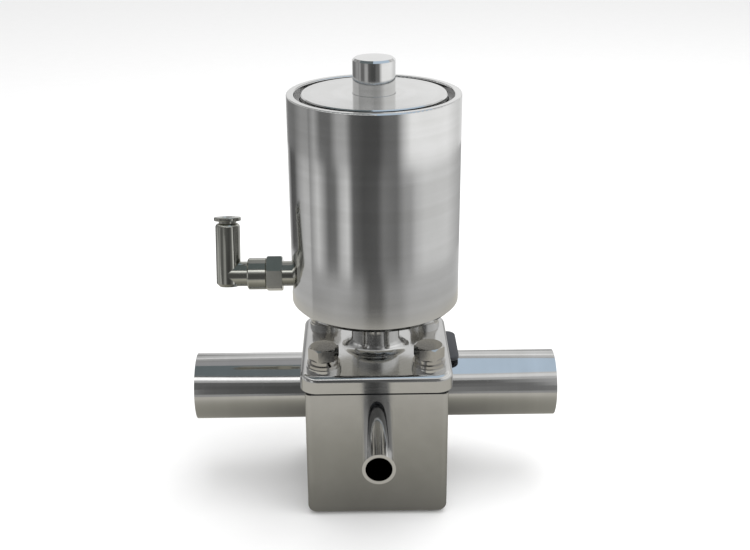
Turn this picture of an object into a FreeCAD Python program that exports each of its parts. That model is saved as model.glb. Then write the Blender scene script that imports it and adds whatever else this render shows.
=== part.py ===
import FreeCAD, Part
import Sketcher
import os

# A stainless diaphragm valve for clean media, with a spring-closed air actuator.
#
# The block body has a straight run tube through it and a small branch tube at its front. A rubber
# diaphragm lies between the block and the square bonnet plate and is pressed on the block's weir by
# a compressor. The stem joins the compressor to a piston in the cylinder above. Springs push the
# piston down, air from the elbow fitting lifts it, and a rod through the cover shows its position.
#
# Frame: millimetres, +Z up along the actuator axis, +X along the run, the branch points to -Y.
# The origin is the centre of the block's flat bottom face, on the actuator axis.

SIZES = [
    # the block and its passages
    ("blockWidth", 69.5, "side of the square block"),
    ("blockHeight", 68.0, "bottom face to the sealing face"),
    ("blockFootRound", 5.0, "round of the block's bottom edges"),
    ("blockCornerRound", 3.0, "round of the block's upright edges"),
    ("runTubeDiameter", 33.7, "outside of the run tube"),
    ("runTubeWall", 2.6, "wall of the run tube"),
    ("runLength", 184.6, "one run tube end to the other"),
    ("runAxisBack", 9.0, "run axis behind the actuator axis"),
    ("runTopCover", 0.1, "top of the run tube below the sealing face"),
    ("branchDiameter", 15.0, "outside of the branch tube"),
    ("branchWall", 1.5, "wall of the branch tube"),
    ("branchReach", 86.0, "actuator axis to the end of the branch"),
    ("branchTopCover", 1.8, "top of the branch tube below the sealing face"),
    ("bowlDiameter", 35.0, "bowl under the diaphragm"),
    ("bowlSump", 0.8, "bowl floor below the branch bore"),
    ("dishDiameter", 36.0, "rim of the dished seat"),
    ("dishDepth", 3.5, "weir crest below the sealing face"),
    ("weirBack", 1.0, "rear edge of the weir crest behind the axis"),
    ("weirFront", 3.0, "front edge of the weir crest ahead of the axis"),
    ("weirFoot", 8.0, "foot of the weir's front slope ahead of the axis"),
    ("weirSlope", 11.0, "height of the weir's front slope"),
    ("weirCover", 2.0, "branch bore short of the weir's foot"),
    # the diaphragm and its stud
    ("gasketThickness", 2.0, "edge of the diaphragm, between block and plate"),
    ("gasketInset", 1.0, "diaphragm edge inside the block's sides"),
    ("gasketCornerRound", 6.0, "corner radius of the diaphragm"),
    ("membraneThickness", 2.5, "middle of the diaphragm"),
    ("tabLength", 32.0, "side tab along the block"),
    ("tabBack", 14.0, "middle of the tab behind the axis"),
    ("tabReach", 5.5, "tab beyond the plate's side"),
    ("tabThickness", 3.0, "sealing face to the top of the tab's lip"),
    ("tabLift", 0.8, "tab's underside above the sealing face, clear of a sleeve on the run tube"),
    ("tabRound", 4.5, "tab corner radius"),
    ("tabOverlap", 1.0, "tongue of the tab inside the sheet's edge"),
    ("dishLap", 0.5, "dished middle outside the hole in the sheet"),
    ("studDiameter", 6.0, "thread of the diaphragm stud"),
    ("studHeadDiameter", 10.0, "head moulded into the diaphragm"),
    ("studHeadHeight", 1.2, "thickness of the stud's head"),
    ("studEngagement", 9.0, "stud thread inside the compressor"),
    # the bonnet
    ("plateWidth", 74.0, "side of the square plate"),
    ("plateThickness", 8.4, "thickness of the plate"),
    ("plateCornerRound", 8.5, "plate corner radius"),
    ("plateEdgeRound", 2.6, "round of the plate's top edge"),
    ("padDiameter", 17.0, "raised pads under the bolts"),
    ("padHeight", 2.0, "height of the pads"),
    ("boltSpacing", 51.0, "bolt to bolt along X and Y"),
    ("boltHoleGap", 0.3, "radial clearance of the bolt holes"),
    ("neckDiameter", 24.0, "outside of the neck"),
    ("neckHeight", 24.7, "plate to the actuator's underside"),
    ("neckFootRound", 5.0, "round between neck and plate"),
    ("spigotDiameter", 18.0, "threaded end inside the actuator"),
    ("spigotProud", 2.4, "spigot above its nut"),
    ("domeHeight", 5.5, "hollow under the plate for the diaphragm"),
    # bolts and washers
    ("boltDiameter", 8.0, "thread of the bonnet bolts"),
    ("boltHeadFlats", 13.0, "across the flats of the bolt heads"),
    ("boltHeadHeight", 6.0, "height of the bolt heads"),
    ("boltHeadStart", 12.0, "turn of the first bolt head, in degrees"),
    ("boltHeadTurn", 37.0, "turn from one bolt head to the next, in degrees"),
    ("hexFaceShare", 0.97, "round end face of a hexagon, as a share of its flats"),
    ("boltEngagement", 8.0, "bolt thread inside the block"),
    ("boltHoleRunout", 0.5, "hole below the bolt's end"),
    ("washerDiameter", 16.0, "flat washer"),
    ("washerThickness", 1.6, "flat washer"),
    ("lockWasherDiameter", 14.2, "split spring washer"),
    ("lockWasherThickness", 2.1, "split spring washer"),
    ("lockWasherSlit", 1.2, "slit of the spring washer"),
    ("lockWasherLean", 25.0, "lean of the slit, in degrees"),
    ("lockWasherStart", -60.0, "place of the first slit, in degrees"),
    ("lockWasherTurn", 70.0, "turn from one slit to the next, in degrees"),
    # stem and compressor
    ("stroke", 7.0, "travel of the stem"),
    ("stemDiameter", 12.0, "stem in the bonnet"),
    ("stemTopDiameter", 10.0, "stem through the piston"),
    ("stemTopThread", 14.0, "stem thread inside the rod"),
    ("compressorDiameter", 20.0, "compressor in the neck"),
    ("compressorHeight", 20.0, "middle of the compressor"),
    ("compressorRoom", 1.0, "room above the raised compressor"),
    ("stemSocket", 8.0, "depth of the stem in the compressor"),
    ("pinDiameter", 4.0, "cross pin"),
    ("pinInset", 0.5, "ends of the pin inside the compressor's side"),
    ("stemBushWall", 1.4, "wall of the stem's bush"),
    ("stemBushHeight", 7.0, "length of the stem's bush"),
    ("stemSealSection", 1.95, "section of the stem's O-rings"),
    ("stemSealPitch", 4.5, "between the two O-rings"),
    ("stemSealDepth", 3.0, "upper O-ring below the neck's top"),
    # the actuator housing
    ("housingDiameter", 82.0, "outside of the cylinder"),
    ("housingWall", 3.5, "wall round the piston"),
    ("housingHeight", 104.9, "underside to rim"),
    ("housingFootChamfer", 2.4, "chamfer of the lower edge"),
    ("housingRimRound", 0.6, "break of the rim's edges"),
    ("floorThickness", 6.0, "floor of the housing"),
    ("chamberWall", 6.0, "thicker wall of the air chamber"),
    ("chamberHeight", 13.9, "air chamber below the piston"),
    ("portHeight", 14.4, "air port above the underside"),
    ("portThread", 9.7, "air port thread"),
    ("spotFaceDiameter", 17.5, "flat round the air port"),
    ("spotFaceDepth", 1.0, "flat below the cylinder's side"),
    ("ventDiameter", 3.0, "breather hole of the spring chamber"),
    ("ventHeight", 70.0, "breather hole above the underside"),
    ("nutFlats", 27.0, "housing nut across flats"),
    ("nutHeight", 6.0, "housing nut"),
    ("housingSealSection", 2.0, "O-ring between floor and spigot"),
    # the piston
    ("pistonGap", 0.1, "radial clearance of the piston"),
    ("pistonHeight", 16.0, "skirt of the piston"),
    ("pistonFloor", 7.0, "piston below the springs"),
    ("pistonRest", 1.0, "piston above the chamber's step when closed"),
    ("pistonHubDiameter", 26.0, "hub under the rod"),
    ("pistonTroughDiameter", 66.0, "outside of the spring trough"),
    ("pistonSealDepth", 3.0, "groove of the piston seal"),
    ("pistonSealHeight", 4.0, "groove of the piston seal"),
    ("pistonSealLip", 1.0, "height of the piston seal's sloping edges"),
    ("guideRingDepth", 2.0, "groove of the guide ring"),
    ("guideRingHeight", 5.0, "groove of the guide ring"),
    ("ringGrooveEdge", 2.0, "land above and below the piston's grooves"),
    # the springs
    ("outerSpringDiameter", 56.0, "middle of the outer coil"),
    ("outerSpringWire", 5.5, "outer spring wire"),
    ("outerSpringTurns", 6.0, "turns of the outer spring"),
    ("innerSpringDiameter", 35.0, "middle of the inner coil"),
    ("innerSpringWire", 4.0, "inner spring wire"),
    ("innerSpringTurns", 8.0, "turns of the inner spring"),
    # the cover
    ("coverHeight", 10.0, "cover, underside to top face"),
    ("coverBossHeight", 5.0, "raised middle of the cover"),
    ("coverBossDiameter", 68.6, "raised middle of the cover"),
    ("coverGap", 0.08, "radial clearance of the cover"),
    ("coverSealSection", 2.6, "O-ring of the cover"),
    ("snapRingThickness", 2.2, "retaining ring"),
    ("snapRingBite", 1.8, "retaining ring inside the wall"),
    ("snapRingReach", 2.6, "retaining ring over the cover's edge"),
    ("snapRingOpening", 12.0, "gap between the ring's ends"),
    ("pliersHole", 1.4, "holes for pliers in the ring's ends"),
    ("pliersHoleInset", 2.2, "holes for pliers beside the gap"),
    # the indicator rod
    ("rodDiameter", 20.0, "indicator rod"),
    ("rodProud", 16.4, "rod above the cover when closed"),
    ("rodChamfer", 1.0, "chamfer of the rod's top"),
    ("rodBushWall", 2.0, "wall of the rod's bush"),
    ("rodBushHeight", 5.0, "length of the rod's bush"),
    ("rodSealSection", 2.0, "O-ring round the rod"),
    # the air fitting
    ("hoseDiameter", 6.0, "air hose"),
    ("hoseGap", 0.1, "radial clearance of the hose"),
    ("hoseDepth", 17.0, "hose inside the elbow"),
    ("airwayDiameter", 4.0, "air passage"),
    ("collarDiameter", 12.4, "round collar on the spot face"),
    ("collarLength", 5.5, "collar, spot face to hexagon"),
    ("hexFlats", 16.0, "hexagon of the fitting"),
    ("hexLength", 7.7, "hexagon of the fitting"),
    ("hexBevel", 0.7, "bevel of the hexagon's corners"),
    ("collarBreak", 0.2, "chamfer of the collar"),
    ("coreSink", 0.2, "turned core inside the hexagon's ends"),
    ("coreInset", 1.0, "turned core under the hexagon's flats"),
    ("sleeveGap", 0.2, "sleeve beside the hexagon"),
    ("sleeveDiameter", 15.6, "swivel sleeve"),
    ("sleeveLength", 9.2, "swivel sleeve"),
    ("sleeveBreak", 0.4, "chamfer of the sleeve beside the hexagon"),
    ("armDiameter", 12.2, "horizontal arm of the elbow"),
    ("elbowReach", 32.2, "spot face to the middle of the leg"),
    ("legDiameter", 12.0, "upright leg of the elbow"),
    ("legHeight", 25.2, "arm axis to the top of the leg"),
    ("legFootChamfer", 1.6, "chamfer of the leg's lower end"),
    ("legTopRound", 1.8, "shoulder at the top of the leg"),
    ("elbowTurn", 15.0, "lean of the leg about the arm, in degrees"),
    ("tailDiameter", 8.0, "tail of the fitting inside the elbow"),
    ("tailLength", 15.5, "tail beyond the hexagon"),
    ("tailGap", 0.3, "elbow's bore past the tail"),
    ("swivelSealInset", 2.5, "O-ring in the swivel, from the tail's end"),
    ("swivelSealSection", 1.2, "O-ring in the swivel"),
    ("portSealSection", 0.9, "O-ring under the collar"),
    ("colletDiameter", 9.6, "collet seat in the leg"),
    ("colletHeight", 5.0, "gripping collet"),
    ("colletSlot", 0.8, "slots of the collet"),
    ("colletRing", 1.2, "closed ring at the collet's foot"),
    ("hoseStopHeight", 2.0, "stop of the hose below its seal"),
    ("hoseSealHeight", 3.0, "hose seal"),
    ("buttonDiameter", 13.2, "push ring on top of the leg"),
    ("buttonThickness", 1.9, "push ring"),
    ("buttonNeckDiameter", 8.6, "neck of the push ring"),
    ("buttonTravel", 1.0, "travel of the push ring"),
    # clearances shared by many pieces
    ("runningGap", 0.05, "radial clearance of what slides or turns"),
    ("threadGap", 0.03, "radial clearance of threads and fixed fits"),
    ("contactGap", 0.02, "between pieces that press on each other"),
    ("ringSqueeze", 0.04, "O-ring short of its groove's walls"),
    ("stopGap", 0.1, "push ring short of its stop"),
    ("tipGap", 0.5, "room past the end of a screwed-in thread"),
    # small edges, and how far the cutting tools reach
    ("edgeBreak", 0.5, "chamfer of the piston, the cover's top and other small turned edges"),
    ("fineBreak", 0.3, "chamfer of the rod's bore and the push ring's lower edge"),
    ("smallBreak", 0.6, "chamfer of studs, the stem's foot and other pushed-in ends"),
    ("endBreak", 0.8, "chamfer of the spigot, the compressor and the stem's thread"),
    ("overcut", 1.0, "a cutting tool past the face it starts from"),
]

document = FreeCAD.newDocument("DiaphragmValve")
sheet = document.addObject("Spreadsheet::Sheet", "Dim")
for row, (alias, number, meaning) in enumerate(SIZES, start=1):
    sheet.set(f"A{row}", alias)
    sheet.set(f"B{row}", str(number))
    sheet.set(f"C{row}", meaning)
    sheet.setAlias(f"B{row}", alias)
document.recompute()

NODES = {}

NOTHING = 1e-6  # a length or a volume that counts as none
SAME_LEVEL = 1e-5  # how near to a level an edge lies on it
START, END, CENTRE = 1, 2, 3  # points of a sketched line, arc or circle
ORIGIN_AND_X, Y_AXIS = -1, -2  # a sketch's own axes, the first one starting at the origin


# ---------------------------------------------------------------- helpers


def worth(expression):
    """The present value of an expression over the sheet."""
    return float(sheet.evalExpression(str(expression)))


def half(expression):
    return f"(({expression}) / 2)"


def total(*expressions):
    return "(" + " + ".join(f"({part})" for part in expressions) + ")"


def less(whole, *parts):
    return f"(({whole}) - {total(*parts)})"


def node(name, thing):
    """Give a finished piece its name and list it for writing."""
    thing.Label = name
    NODES[name] = thing
    return thing


def helper(kind, name, **bindings):
    """A Part object whose properties are bound to expressions."""
    thing = document.addObject(kind, name)
    for size, expression in bindings.items():
        thing.setExpression(size, str(expression))
    return thing


def place(thing, x="0", y="0", z="0", turn="rotation(0; 0; 0)"):
    thing.setExpression("Placement", f"placement(vector({x}; {y}; {z}); {turn})")
    return thing


def cut(name, base, *tools):
    tool = tools[0]
    if len(tools) > 1:
        tool = document.addObject("Part::MultiFuse", name + "Tools")
        tool.Shapes = list(tools)
    result = document.addObject("Part::Cut", name)
    result.Base = base
    result.Tool = tool
    return result


def common(name, first, second):
    result = document.addObject("Part::Common", name)
    result.Base = first
    result.Tool = second
    return result


def group(name, pieces):
    result = document.addObject("Part::Compound", name)
    result.Links = pieces
    return result


def cylinder(name, radius, height, x="0", y="0", z="0", turn="rotation(0; 0; 0)"):
    rod = helper("Part::Cylinder", name, Radius=radius, Height=height)
    return place(rod, x, y, z, turn)


def plane_of(body, role):
    return [plane for plane in body.Origin.OriginFeatures if plane.Role == role][0]


def hold(sketch, piece, point, along, expression):
    """Hold one coordinate of a sketch point at an expression."""
    value = worth(expression)
    upright = along == "DistanceY"
    if abs(value) < NOTHING:
        axis = ORIGIN_AND_X if upright else Y_AXIS
        sketch.addConstraint(Sketcher.Constraint("PointOnObject", piece, point, axis))
        return
    origin = (ORIGIN_AND_X, START)
    ends = (*origin, piece, point) if value > 0 else (piece, point, *origin)
    signed = str(expression) if value > 0 else f"-({expression})"
    index = sketch.addConstraint(Sketcher.Constraint(along, *ends, abs(value)))
    sketch.setExpression(f"Constraints[{index}]", signed)


def new_sketch(body, name, role, lift=None):
    """A sketch on one of the body's own planes, raised along its normal if wanted."""
    sketch = body.newObject("Sketcher::SketchObject", name)
    sketch.AttachmentSupport = (plane_of(body, role), [""])
    sketch.MapMode = "FlatFace"
    if lift is not None:
        sketch.setExpression("AttachmentOffset.Base.z", str(lift))
    return sketch


def outline(sketch, corners, arcs=None):
    """Close a line through the corners. arcs gives, for the edge that leaves a corner, the centre's
    first coordinate, and +1 or -1 for an arc that turns left or right."""
    arcs = arcs or {}
    spots = [FreeCAD.Vector(worth(a), worth(b), 0) for a, b in corners]
    count = len(spots)
    for i, spot in enumerate(spots):
        after = spots[(i + 1) % count]
        if i not in arcs:
            sketch.addGeometry(Part.LineSegment(spot, after))
            continue
        across, hand = arcs[i]
        middle = arc_centre(spot, after, worth(across))
        radius = spot.distanceToPoint(middle)
        circle = Part.Circle(middle, FreeCAD.Vector(0, 0, 1), radius)
        first, last = (spot, after) if hand > 0 else (after, spot)
        sketch.addGeometry(
            Part.ArcOfCircle(circle, circle.parameter(first), circle.parameter(last))
        )
    for i in range(count):
        j = (i + 1) % count
        end = START if i in arcs and arcs[i][1] < 0 else END
        begin = END if j in arcs and arcs[j][1] < 0 else START
        sketch.addConstraint(Sketcher.Constraint("Coincident", i, end, j, begin))
    for i, (across, up) in enumerate(corners):
        begin = END if i in arcs and arcs[i][1] < 0 else START
        hold(sketch, i, begin, "DistanceX", across)
        hold(sketch, i, begin, "DistanceY", up)
        if i in arcs:
            hold(sketch, i, CENTRE, "DistanceX", arcs[i][0])
    return sketch


def arc_centre(first, last, across):
    """The centre, at the given first coordinate, of an arc through two points."""
    run = last.x - first.x
    rise = last.y - first.y
    middle = (first + last) / 2
    up = middle.y - (across - middle.x) * run / rise
    return FreeCAD.Vector(across, up, 0)


def ring_sketch(sketch, across, up, *radii):
    """Concentric circles about a point."""
    for radius in radii:
        centre = FreeCAD.Vector(worth(across), worth(up), 0)
        index = sketch.addGeometry(
            Part.Circle(centre, FreeCAD.Vector(0, 0, 1), worth(radius))
        )
        hold(sketch, index, CENTRE, "DistanceX", across)
        hold(sketch, index, CENTRE, "DistanceY", up)
        rule = sketch.addConstraint(Sketcher.Constraint("Radius", index, worth(radius)))
        sketch.setExpression(f"Constraints[{rule}]", str(radius))
    return sketch


def feature(body, kind, name, sketch=None, **bindings):
    """A PartDesign feature on the body, bound to expressions."""
    made = body.newObject(kind, name)
    if sketch is not None:
        made.Profile = (sketch, [""])
    for size, expression in bindings.items():
        made.setExpression(size, str(expression))
    return made


def volume_now(body):
    document.recompute()
    return body.Shape.Volume


def check_cut(body, before, name):
    """A pocket or groove that points away from the solid removes nothing."""
    after = volume_now(body)
    if after >= before - NOTHING:
        raise RuntimeError(f"{name} removed nothing")


def full_turn(spin, sketch, axis="V_Axis"):
    """Set a revolution or groove to go all the way round one of its sketch's axes."""
    spin.ReferenceAxis = (sketch, [axis])
    spin.Angle = 360


def turned(name, corners, arcs=None, axis="V_Axis"):
    """A turned piece: (radius, height) corners on the body's XZ plane, spun about an axis."""
    body = document.addObject("PartDesign::Body", name)
    sketch = outline(new_sketch(body, name + "Profile", "XZ_Plane"), corners, arcs)
    full_turn(feature(body, "PartDesign::Revolution", name + "Turn", sketch), sketch, axis)
    return body


def groove(body, name, corners, arcs=None, axis="V_Axis"):
    """Turn a hollow into a body."""
    before = volume_now(body)
    sketch = outline(new_sketch(body, name + "Profile", "XZ_Plane"), corners, arcs)
    full_turn(feature(body, "PartDesign::Groove", name, sketch), sketch, axis)
    check_cut(body, before, name)
    return body


def edges_where(shape, wanted):
    return [f"Edge{i + 1}" for i, edge in enumerate(shape.Edges) if wanted(edge)]


def soften(body, name, kind, size, wanted):
    """Round or chamfer the edges that a rule picks out."""
    before = volume_now(body)
    base = body.Tip
    picked = edges_where(base.Shape, wanted)
    made = feature(body, kind, name)
    made.Base = (base, picked)
    made.setExpression("Radius" if kind.endswith("Fillet") else "Size", str(size))
    after = volume_now(body)
    if not picked or abs(after - before) < NOTHING:
        raise RuntimeError(f"{name} changed nothing")
    return made


def upright(edge):
    """A straight edge along Z."""
    ends = [vertex.Point for vertex in edge.Vertexes]
    if len(ends) != 2 or edge.Curve.TypeId != "Part::GeomLine":
        return False
    run = ends[1] - ends[0]
    return abs(run.x) < NOTHING and abs(run.y) < NOTHING


def level_at(expression):
    """A rule for the edges that lie at one height."""
    height = worth(expression)

    def wanted(edge):
        box = edge.BoundBox
        return abs(box.ZMin - height) < SAME_LEVEL and abs(box.ZMax - height) < SAME_LEVEL

    return wanted


def square(sketch, side):
    """A square centred on the axis."""
    high = half(side)
    low = f"-{high}"
    return outline(sketch, [(low, low), (high, low), (high, high), (low, high)])


def o_ring(name, across, up, section):
    """An O-ring round the axis: the ring's middle radius, its height and its section."""
    ring = helper("Part::Torus", name, Radius1=across, Radius2=half(section))
    return place(ring, z=up)


# ---------------------------------------------------------------- stations along the axis

seat = "Dim.blockHeight"
plate_base = total(seat, "Dim.gasketThickness")
plate_top = total(plate_base, "Dim.plateThickness")
pad_top = total(plate_top, "Dim.padHeight")
neck_top = total(plate_top, "Dim.neckHeight")
floor_top = total(neck_top, "Dim.floorThickness")
nut_top = total(floor_top, "Dim.nutHeight")
spigot_top = total(nut_top, "Dim.spigotProud")
chamber_top = total(floor_top, "Dim.chamberHeight")
piston_base = total(chamber_top, "Dim.pistonRest")
piston_top = total(piston_base, "Dim.pistonHeight")
spring_base = total(piston_base, "Dim.pistonFloor")
rim = total(neck_top, "Dim.housingHeight")
cover_base = less(rim, "Dim.coverHeight")
cover_shoulder = less(rim, "Dim.coverBossHeight")
rod_top = total(rim, "Dim.rodProud")
port_level = total(neck_top, "Dim.portHeight")
run_level = less(seat, "Dim.runTopCover", half("Dim.runTubeDiameter"))
branch_level = less(seat, "Dim.branchTopCover", half("Dim.branchDiameter"))

run_bore = less(half("Dim.runTubeDiameter"), "Dim.runTubeWall")
branch_bore = less(half("Dim.branchDiameter"), "Dim.branchWall")
dish_radius = half("Dim.dishDiameter")
membrane_low = total(less(seat, "Dim.dishDepth"), "Dim.contactGap")
membrane_high = total(membrane_low, "Dim.membraneThickness")
membrane_sag = less(plate_base, membrane_high)
bolt_reach = half("Dim.boltSpacing")
bolt_sides = [(-1, -1), (1, -1), (1, 1), (-1, 1)]

compressor_low = total(membrane_high, "Dim.contactGap")
compressor_top = total(compressor_low, "Dim.compressorHeight")
compressor_roof = total(compressor_top, "Dim.stroke", "Dim.compressorRoom")
stem_low = less(compressor_top, "Dim.stemSocket")
pin_level = less(compressor_top, half("Dim.stemSocket"))
stem_bore = total(half("Dim.stemDiameter"), "Dim.runningGap")
stem_top_bore = total(half("Dim.stemTopDiameter"), "Dim.threadGap")
rod_radius = half("Dim.rodDiameter")
rod_bore = total(rod_radius, "Dim.runningGap")

housing_radius = half("Dim.housingDiameter")
cylinder_bore = less(housing_radius, "Dim.housingWall")
chamber_bore = less(housing_radius, "Dim.chamberWall")
spigot_radius = half("Dim.spigotDiameter")
spigot_hole = total(spigot_radius, "Dim.threadGap")
spot_face = less(housing_radius, "Dim.spotFaceDepth")


# ---------------------------------------------------------------- block and tubes


def make_block():
    """Square block, cut by the run, the branch, the dished seat and the bowl with its weir."""
    body = document.addObject("PartDesign::Body", "BlockBlank")
    sketch = square(new_sketch(body, "BlockSquare", "XY_Plane"), "Dim.blockWidth")
    feature(body, "PartDesign::Pad", "BlockPad", sketch, Length=seat)
    document.recompute()
    soften(body, "BlockCorners", "PartDesign::Fillet", "Dim.blockCornerRound", upright)
    soften(body, "BlockFoot", "PartDesign::Fillet", "Dim.blockFootRound", level_at("0"))

    along_x = "rotation(0; 90; 0)"
    along_front = "rotation(0; 0; 90)"
    side = half("Dim.blockWidth")
    run = cylinder(
        "RunBore", run_bore, "Dim.blockWidth + 2 * Dim.overcut",
        x=f"-{side} - Dim.overcut", y="Dim.runAxisBack", z=run_level, turn=along_x,
    )
    bowl_radius = half("Dim.bowlDiameter")
    branch = cylinder(
        "BranchBore", branch_bore, less(total(side, "Dim.overcut"), "Dim.weirFoot", "Dim.weirCover"),
        y="-(Dim.weirFoot + Dim.weirCover)", z=branch_level, turn=along_front,
    )
    bowl_floor = less(branch_level, branch_bore, "Dim.bowlSump")
    bowl = cylinder("Bowl", bowl_radius, less(total(seat, "Dim.overcut"), bowl_floor), z=bowl_floor)
    cavity = cut("Cavity", bowl, make_weir(bowl_floor))
    seat_radius = f"({dish_radius}^2 + Dim.dishDepth^2) / (2 * Dim.dishDepth)"
    dish = helper("Part::Sphere", "Dish", Radius=seat_radius)
    place(dish, z=total(less(seat, "Dim.dishDepth"), seat_radius))

    depth = total("Dim.boltEngagement", "Dim.boltHoleRunout")
    holes = [
        cylinder(
            f"BoltHole{i}", total(half("Dim.boltDiameter"), "Dim.threadGap"),
            total(depth, "Dim.overcut"),
            x=f"{a} * {bolt_reach}", y=f"{b} * {bolt_reach}", z=less(seat, depth),
        )
        for i, (a, b) in enumerate(bolt_sides)
    ]
    return node("body_block", cut("Block", body, run, branch, cavity, dish, *holes))


def make_weir(bowl_floor):
    """The wall across the bowl, its crest on the axis, sloping to the front."""
    body = document.addObject("PartDesign::Body", "Weir")
    slope_foot = less(seat, "Dim.weirSlope")
    corners = [
        ("-Dim.weirFront", total(seat, "Dim.overcut")),
        ("-Dim.weirFront", seat),
        ("-Dim.weirFoot", slope_foot),
        ("-Dim.weirFoot", less(bowl_floor, "Dim.overcut")),
        ("Dim.weirBack", less(bowl_floor, "Dim.overcut")),
        ("Dim.weirBack", total(seat, "Dim.overcut")),
    ]
    sketch = outline(new_sketch(body, "WeirSection", "YZ_Plane"), corners)
    length = "Dim.bowlDiameter + 2 * Dim.overcut"
    wall = feature(body, "PartDesign::Pad", "WeirPad", sketch, Length=length)
    wall.SideType = "Symmetric"
    return body


def make_tube(name, role, lift, across, up, radius, wall, length):
    """A plain tube: a ring on one of the body's planes, drawn out along its normal."""
    body = document.addObject("PartDesign::Body", name)
    sketch = new_sketch(body, name + "Ring", role, lift)
    ring_sketch(sketch, across, up, radius, less(radius, wall))
    feature(body, "PartDesign::Pad", name + "Pad", sketch, Length=length)
    return node(name, body)


def make_tubes():
    side = half("Dim.blockWidth")
    radius = half("Dim.runTubeDiameter")
    stub = less(half("Dim.runLength"), side)
    run = ("Dim.runAxisBack", run_level, radius, "Dim.runTubeWall", stub)
    make_tube("run_tube_right", "YZ_Plane", side, *run)
    make_tube("run_tube_left", "YZ_Plane", f"-({half('Dim.runLength')})", *run)
    make_tube(
        "branch_tube", "XZ_Plane", side, "0", branch_level, half("Dim.branchDiameter"),
        "Dim.branchWall", less("Dim.branchReach", side),
    )


# ---------------------------------------------------------------- diaphragm


def make_diaphragm():
    """Rubber sheet with a dished middle, four bolt holes and a tab that stays in sight."""
    body = document.addObject("PartDesign::Body", "Diaphragm")
    side = less("Dim.blockWidth", "2 * Dim.gasketInset")
    sketch = square(new_sketch(body, "SheetSquare", "XY_Plane", seat), side)
    feature(body, "PartDesign::Pad", "SheetPad", sketch, Length="Dim.gasketThickness")
    document.recompute()
    soften(body, "SheetCorners", "PartDesign::Fillet", "Dim.gasketCornerRound", upright)
    body = disc_out(body)
    rim_step = total(dish_radius, "Dim.dishLap")
    corners = [
        ("0", membrane_low),
        (dish_radius, seat),
        (rim_step, seat),
        (rim_step, plate_base),
        (dish_radius, plate_base),
        ("0", membrane_high),
    ]
    profile = new_sketch(body, "MembraneSection", "XZ_Plane")
    outline(profile, corners, arcs={0: ("0", 1), 4: ("0", -1)})
    full_turn(feature(body, "PartDesign::Revolution", "Membrane", profile), profile)
    head = total(half("Dim.studHeadDiameter"), "Dim.contactGap")
    shank = total(half("Dim.studDiameter"), "Dim.contactGap")
    head_low, head_high = stud_head()
    corners = [
        ("0", less(head_low, "Dim.contactGap")),
        (head, less(head_low, "Dim.contactGap")),
        (head, total(head_high, "Dim.contactGap")),
        (shank, total(head_high, "Dim.contactGap")),
        (shank, plate_base),
        ("0", plate_base),
    ]
    groove(body, "StudSeat", corners)
    tab = make_tab()
    sheet_and_tab = document.addObject("Part::Fuse", "SheetAndTab")
    sheet_and_tab.Base = body
    sheet_and_tab.Tool = tab
    holes = [
        cylinder(
            f"SheetHole{i}", total(half("Dim.boltDiameter"), "Dim.boltHoleGap"),
            "Dim.gasketThickness + 2 * Dim.overcut",
            x=f"{a} * {bolt_reach}", y=f"{b} * {bolt_reach}", z=less(seat, "Dim.overcut"),
        )
        for i, (a, b) in enumerate(bolt_sides)
    ]
    return node("diaphragm", cut("DiaphragmCut", sheet_and_tab, *holes))


def disc_out(body):
    """Take the flat middle out of the sheet, where the dished membrane goes."""
    before = volume_now(body)
    sketch = new_sketch(body, "MiddleCircle", "XY_Plane", plate_base)
    ring_sketch(sketch, "0", "0", dish_radius)
    feature(body, "PartDesign::Pocket", "Middle", sketch, Length="Dim.gasketThickness")
    check_cut(body, before, "Middle")
    return body


def make_tab():
    """A tongue between block and plate with a thicker lip outside."""
    body = document.addObject("PartDesign::Body", "Tab")
    low = less("Dim.tabBack", half("Dim.tabLength"))
    high = total("Dim.tabBack", half("Dim.tabLength"))
    inner = less(half("Dim.blockWidth"), "Dim.gasketInset", "Dim.tabOverlap")
    plate_side = total(half("Dim.plateWidth"), "Dim.stopGap")
    outer = total(half("Dim.plateWidth"), "Dim.tabReach")
    underside = total(seat, "Dim.tabLift")
    tongue = [(inner, low), (outer, low), (outer, high), (inner, high)]
    sketch = outline(new_sketch(body, "TongueOutline", "XY_Plane", underside), tongue)
    tongue_height = less("Dim.gasketThickness", "Dim.tabLift")
    feature(body, "PartDesign::Pad", "Tongue", sketch, Length=tongue_height)
    lip = [(plate_side, low), (outer, low), (outer, high), (plate_side, high)]
    sketch = outline(new_sketch(body, "LipOutline", "XY_Plane", underside), lip)
    feature(body, "PartDesign::Pad", "Lip", sketch, Length=less("Dim.tabThickness", "Dim.tabLift"))
    document.recompute()
    end = worth(outer)

    def outer_corner(edge):
        return upright(edge) and abs(edge.BoundBox.XMax - end) < SAME_LEVEL

    soften(body, "TabCorners", "PartDesign::Fillet", "Dim.tabRound", outer_corner)
    return body


def stud_head():
    """Lower and upper level of the stud's head, in the middle of the membrane."""
    middle = total(membrane_low, half("Dim.membraneThickness"))
    low = less(middle, half("Dim.studHeadHeight"))
    return low, total(low, "Dim.studHeadHeight")


def make_stud():
    head_low, head_high = stud_head()
    head = half("Dim.studHeadDiameter")
    shank = half("Dim.studDiameter")
    top = total(compressor_low, "Dim.studEngagement")
    corners = [
        ("0", head_low),
        (head, head_low),
        (head, head_high),
        (shank, head_high),
        (shank, less(top, "Dim.smallBreak")),
        (less(shank, "Dim.smallBreak"), top),
        ("0", top),
    ]
    return node("diaphragm_stud", turned("Stud", corners))


# ---------------------------------------------------------------- bonnet


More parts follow.
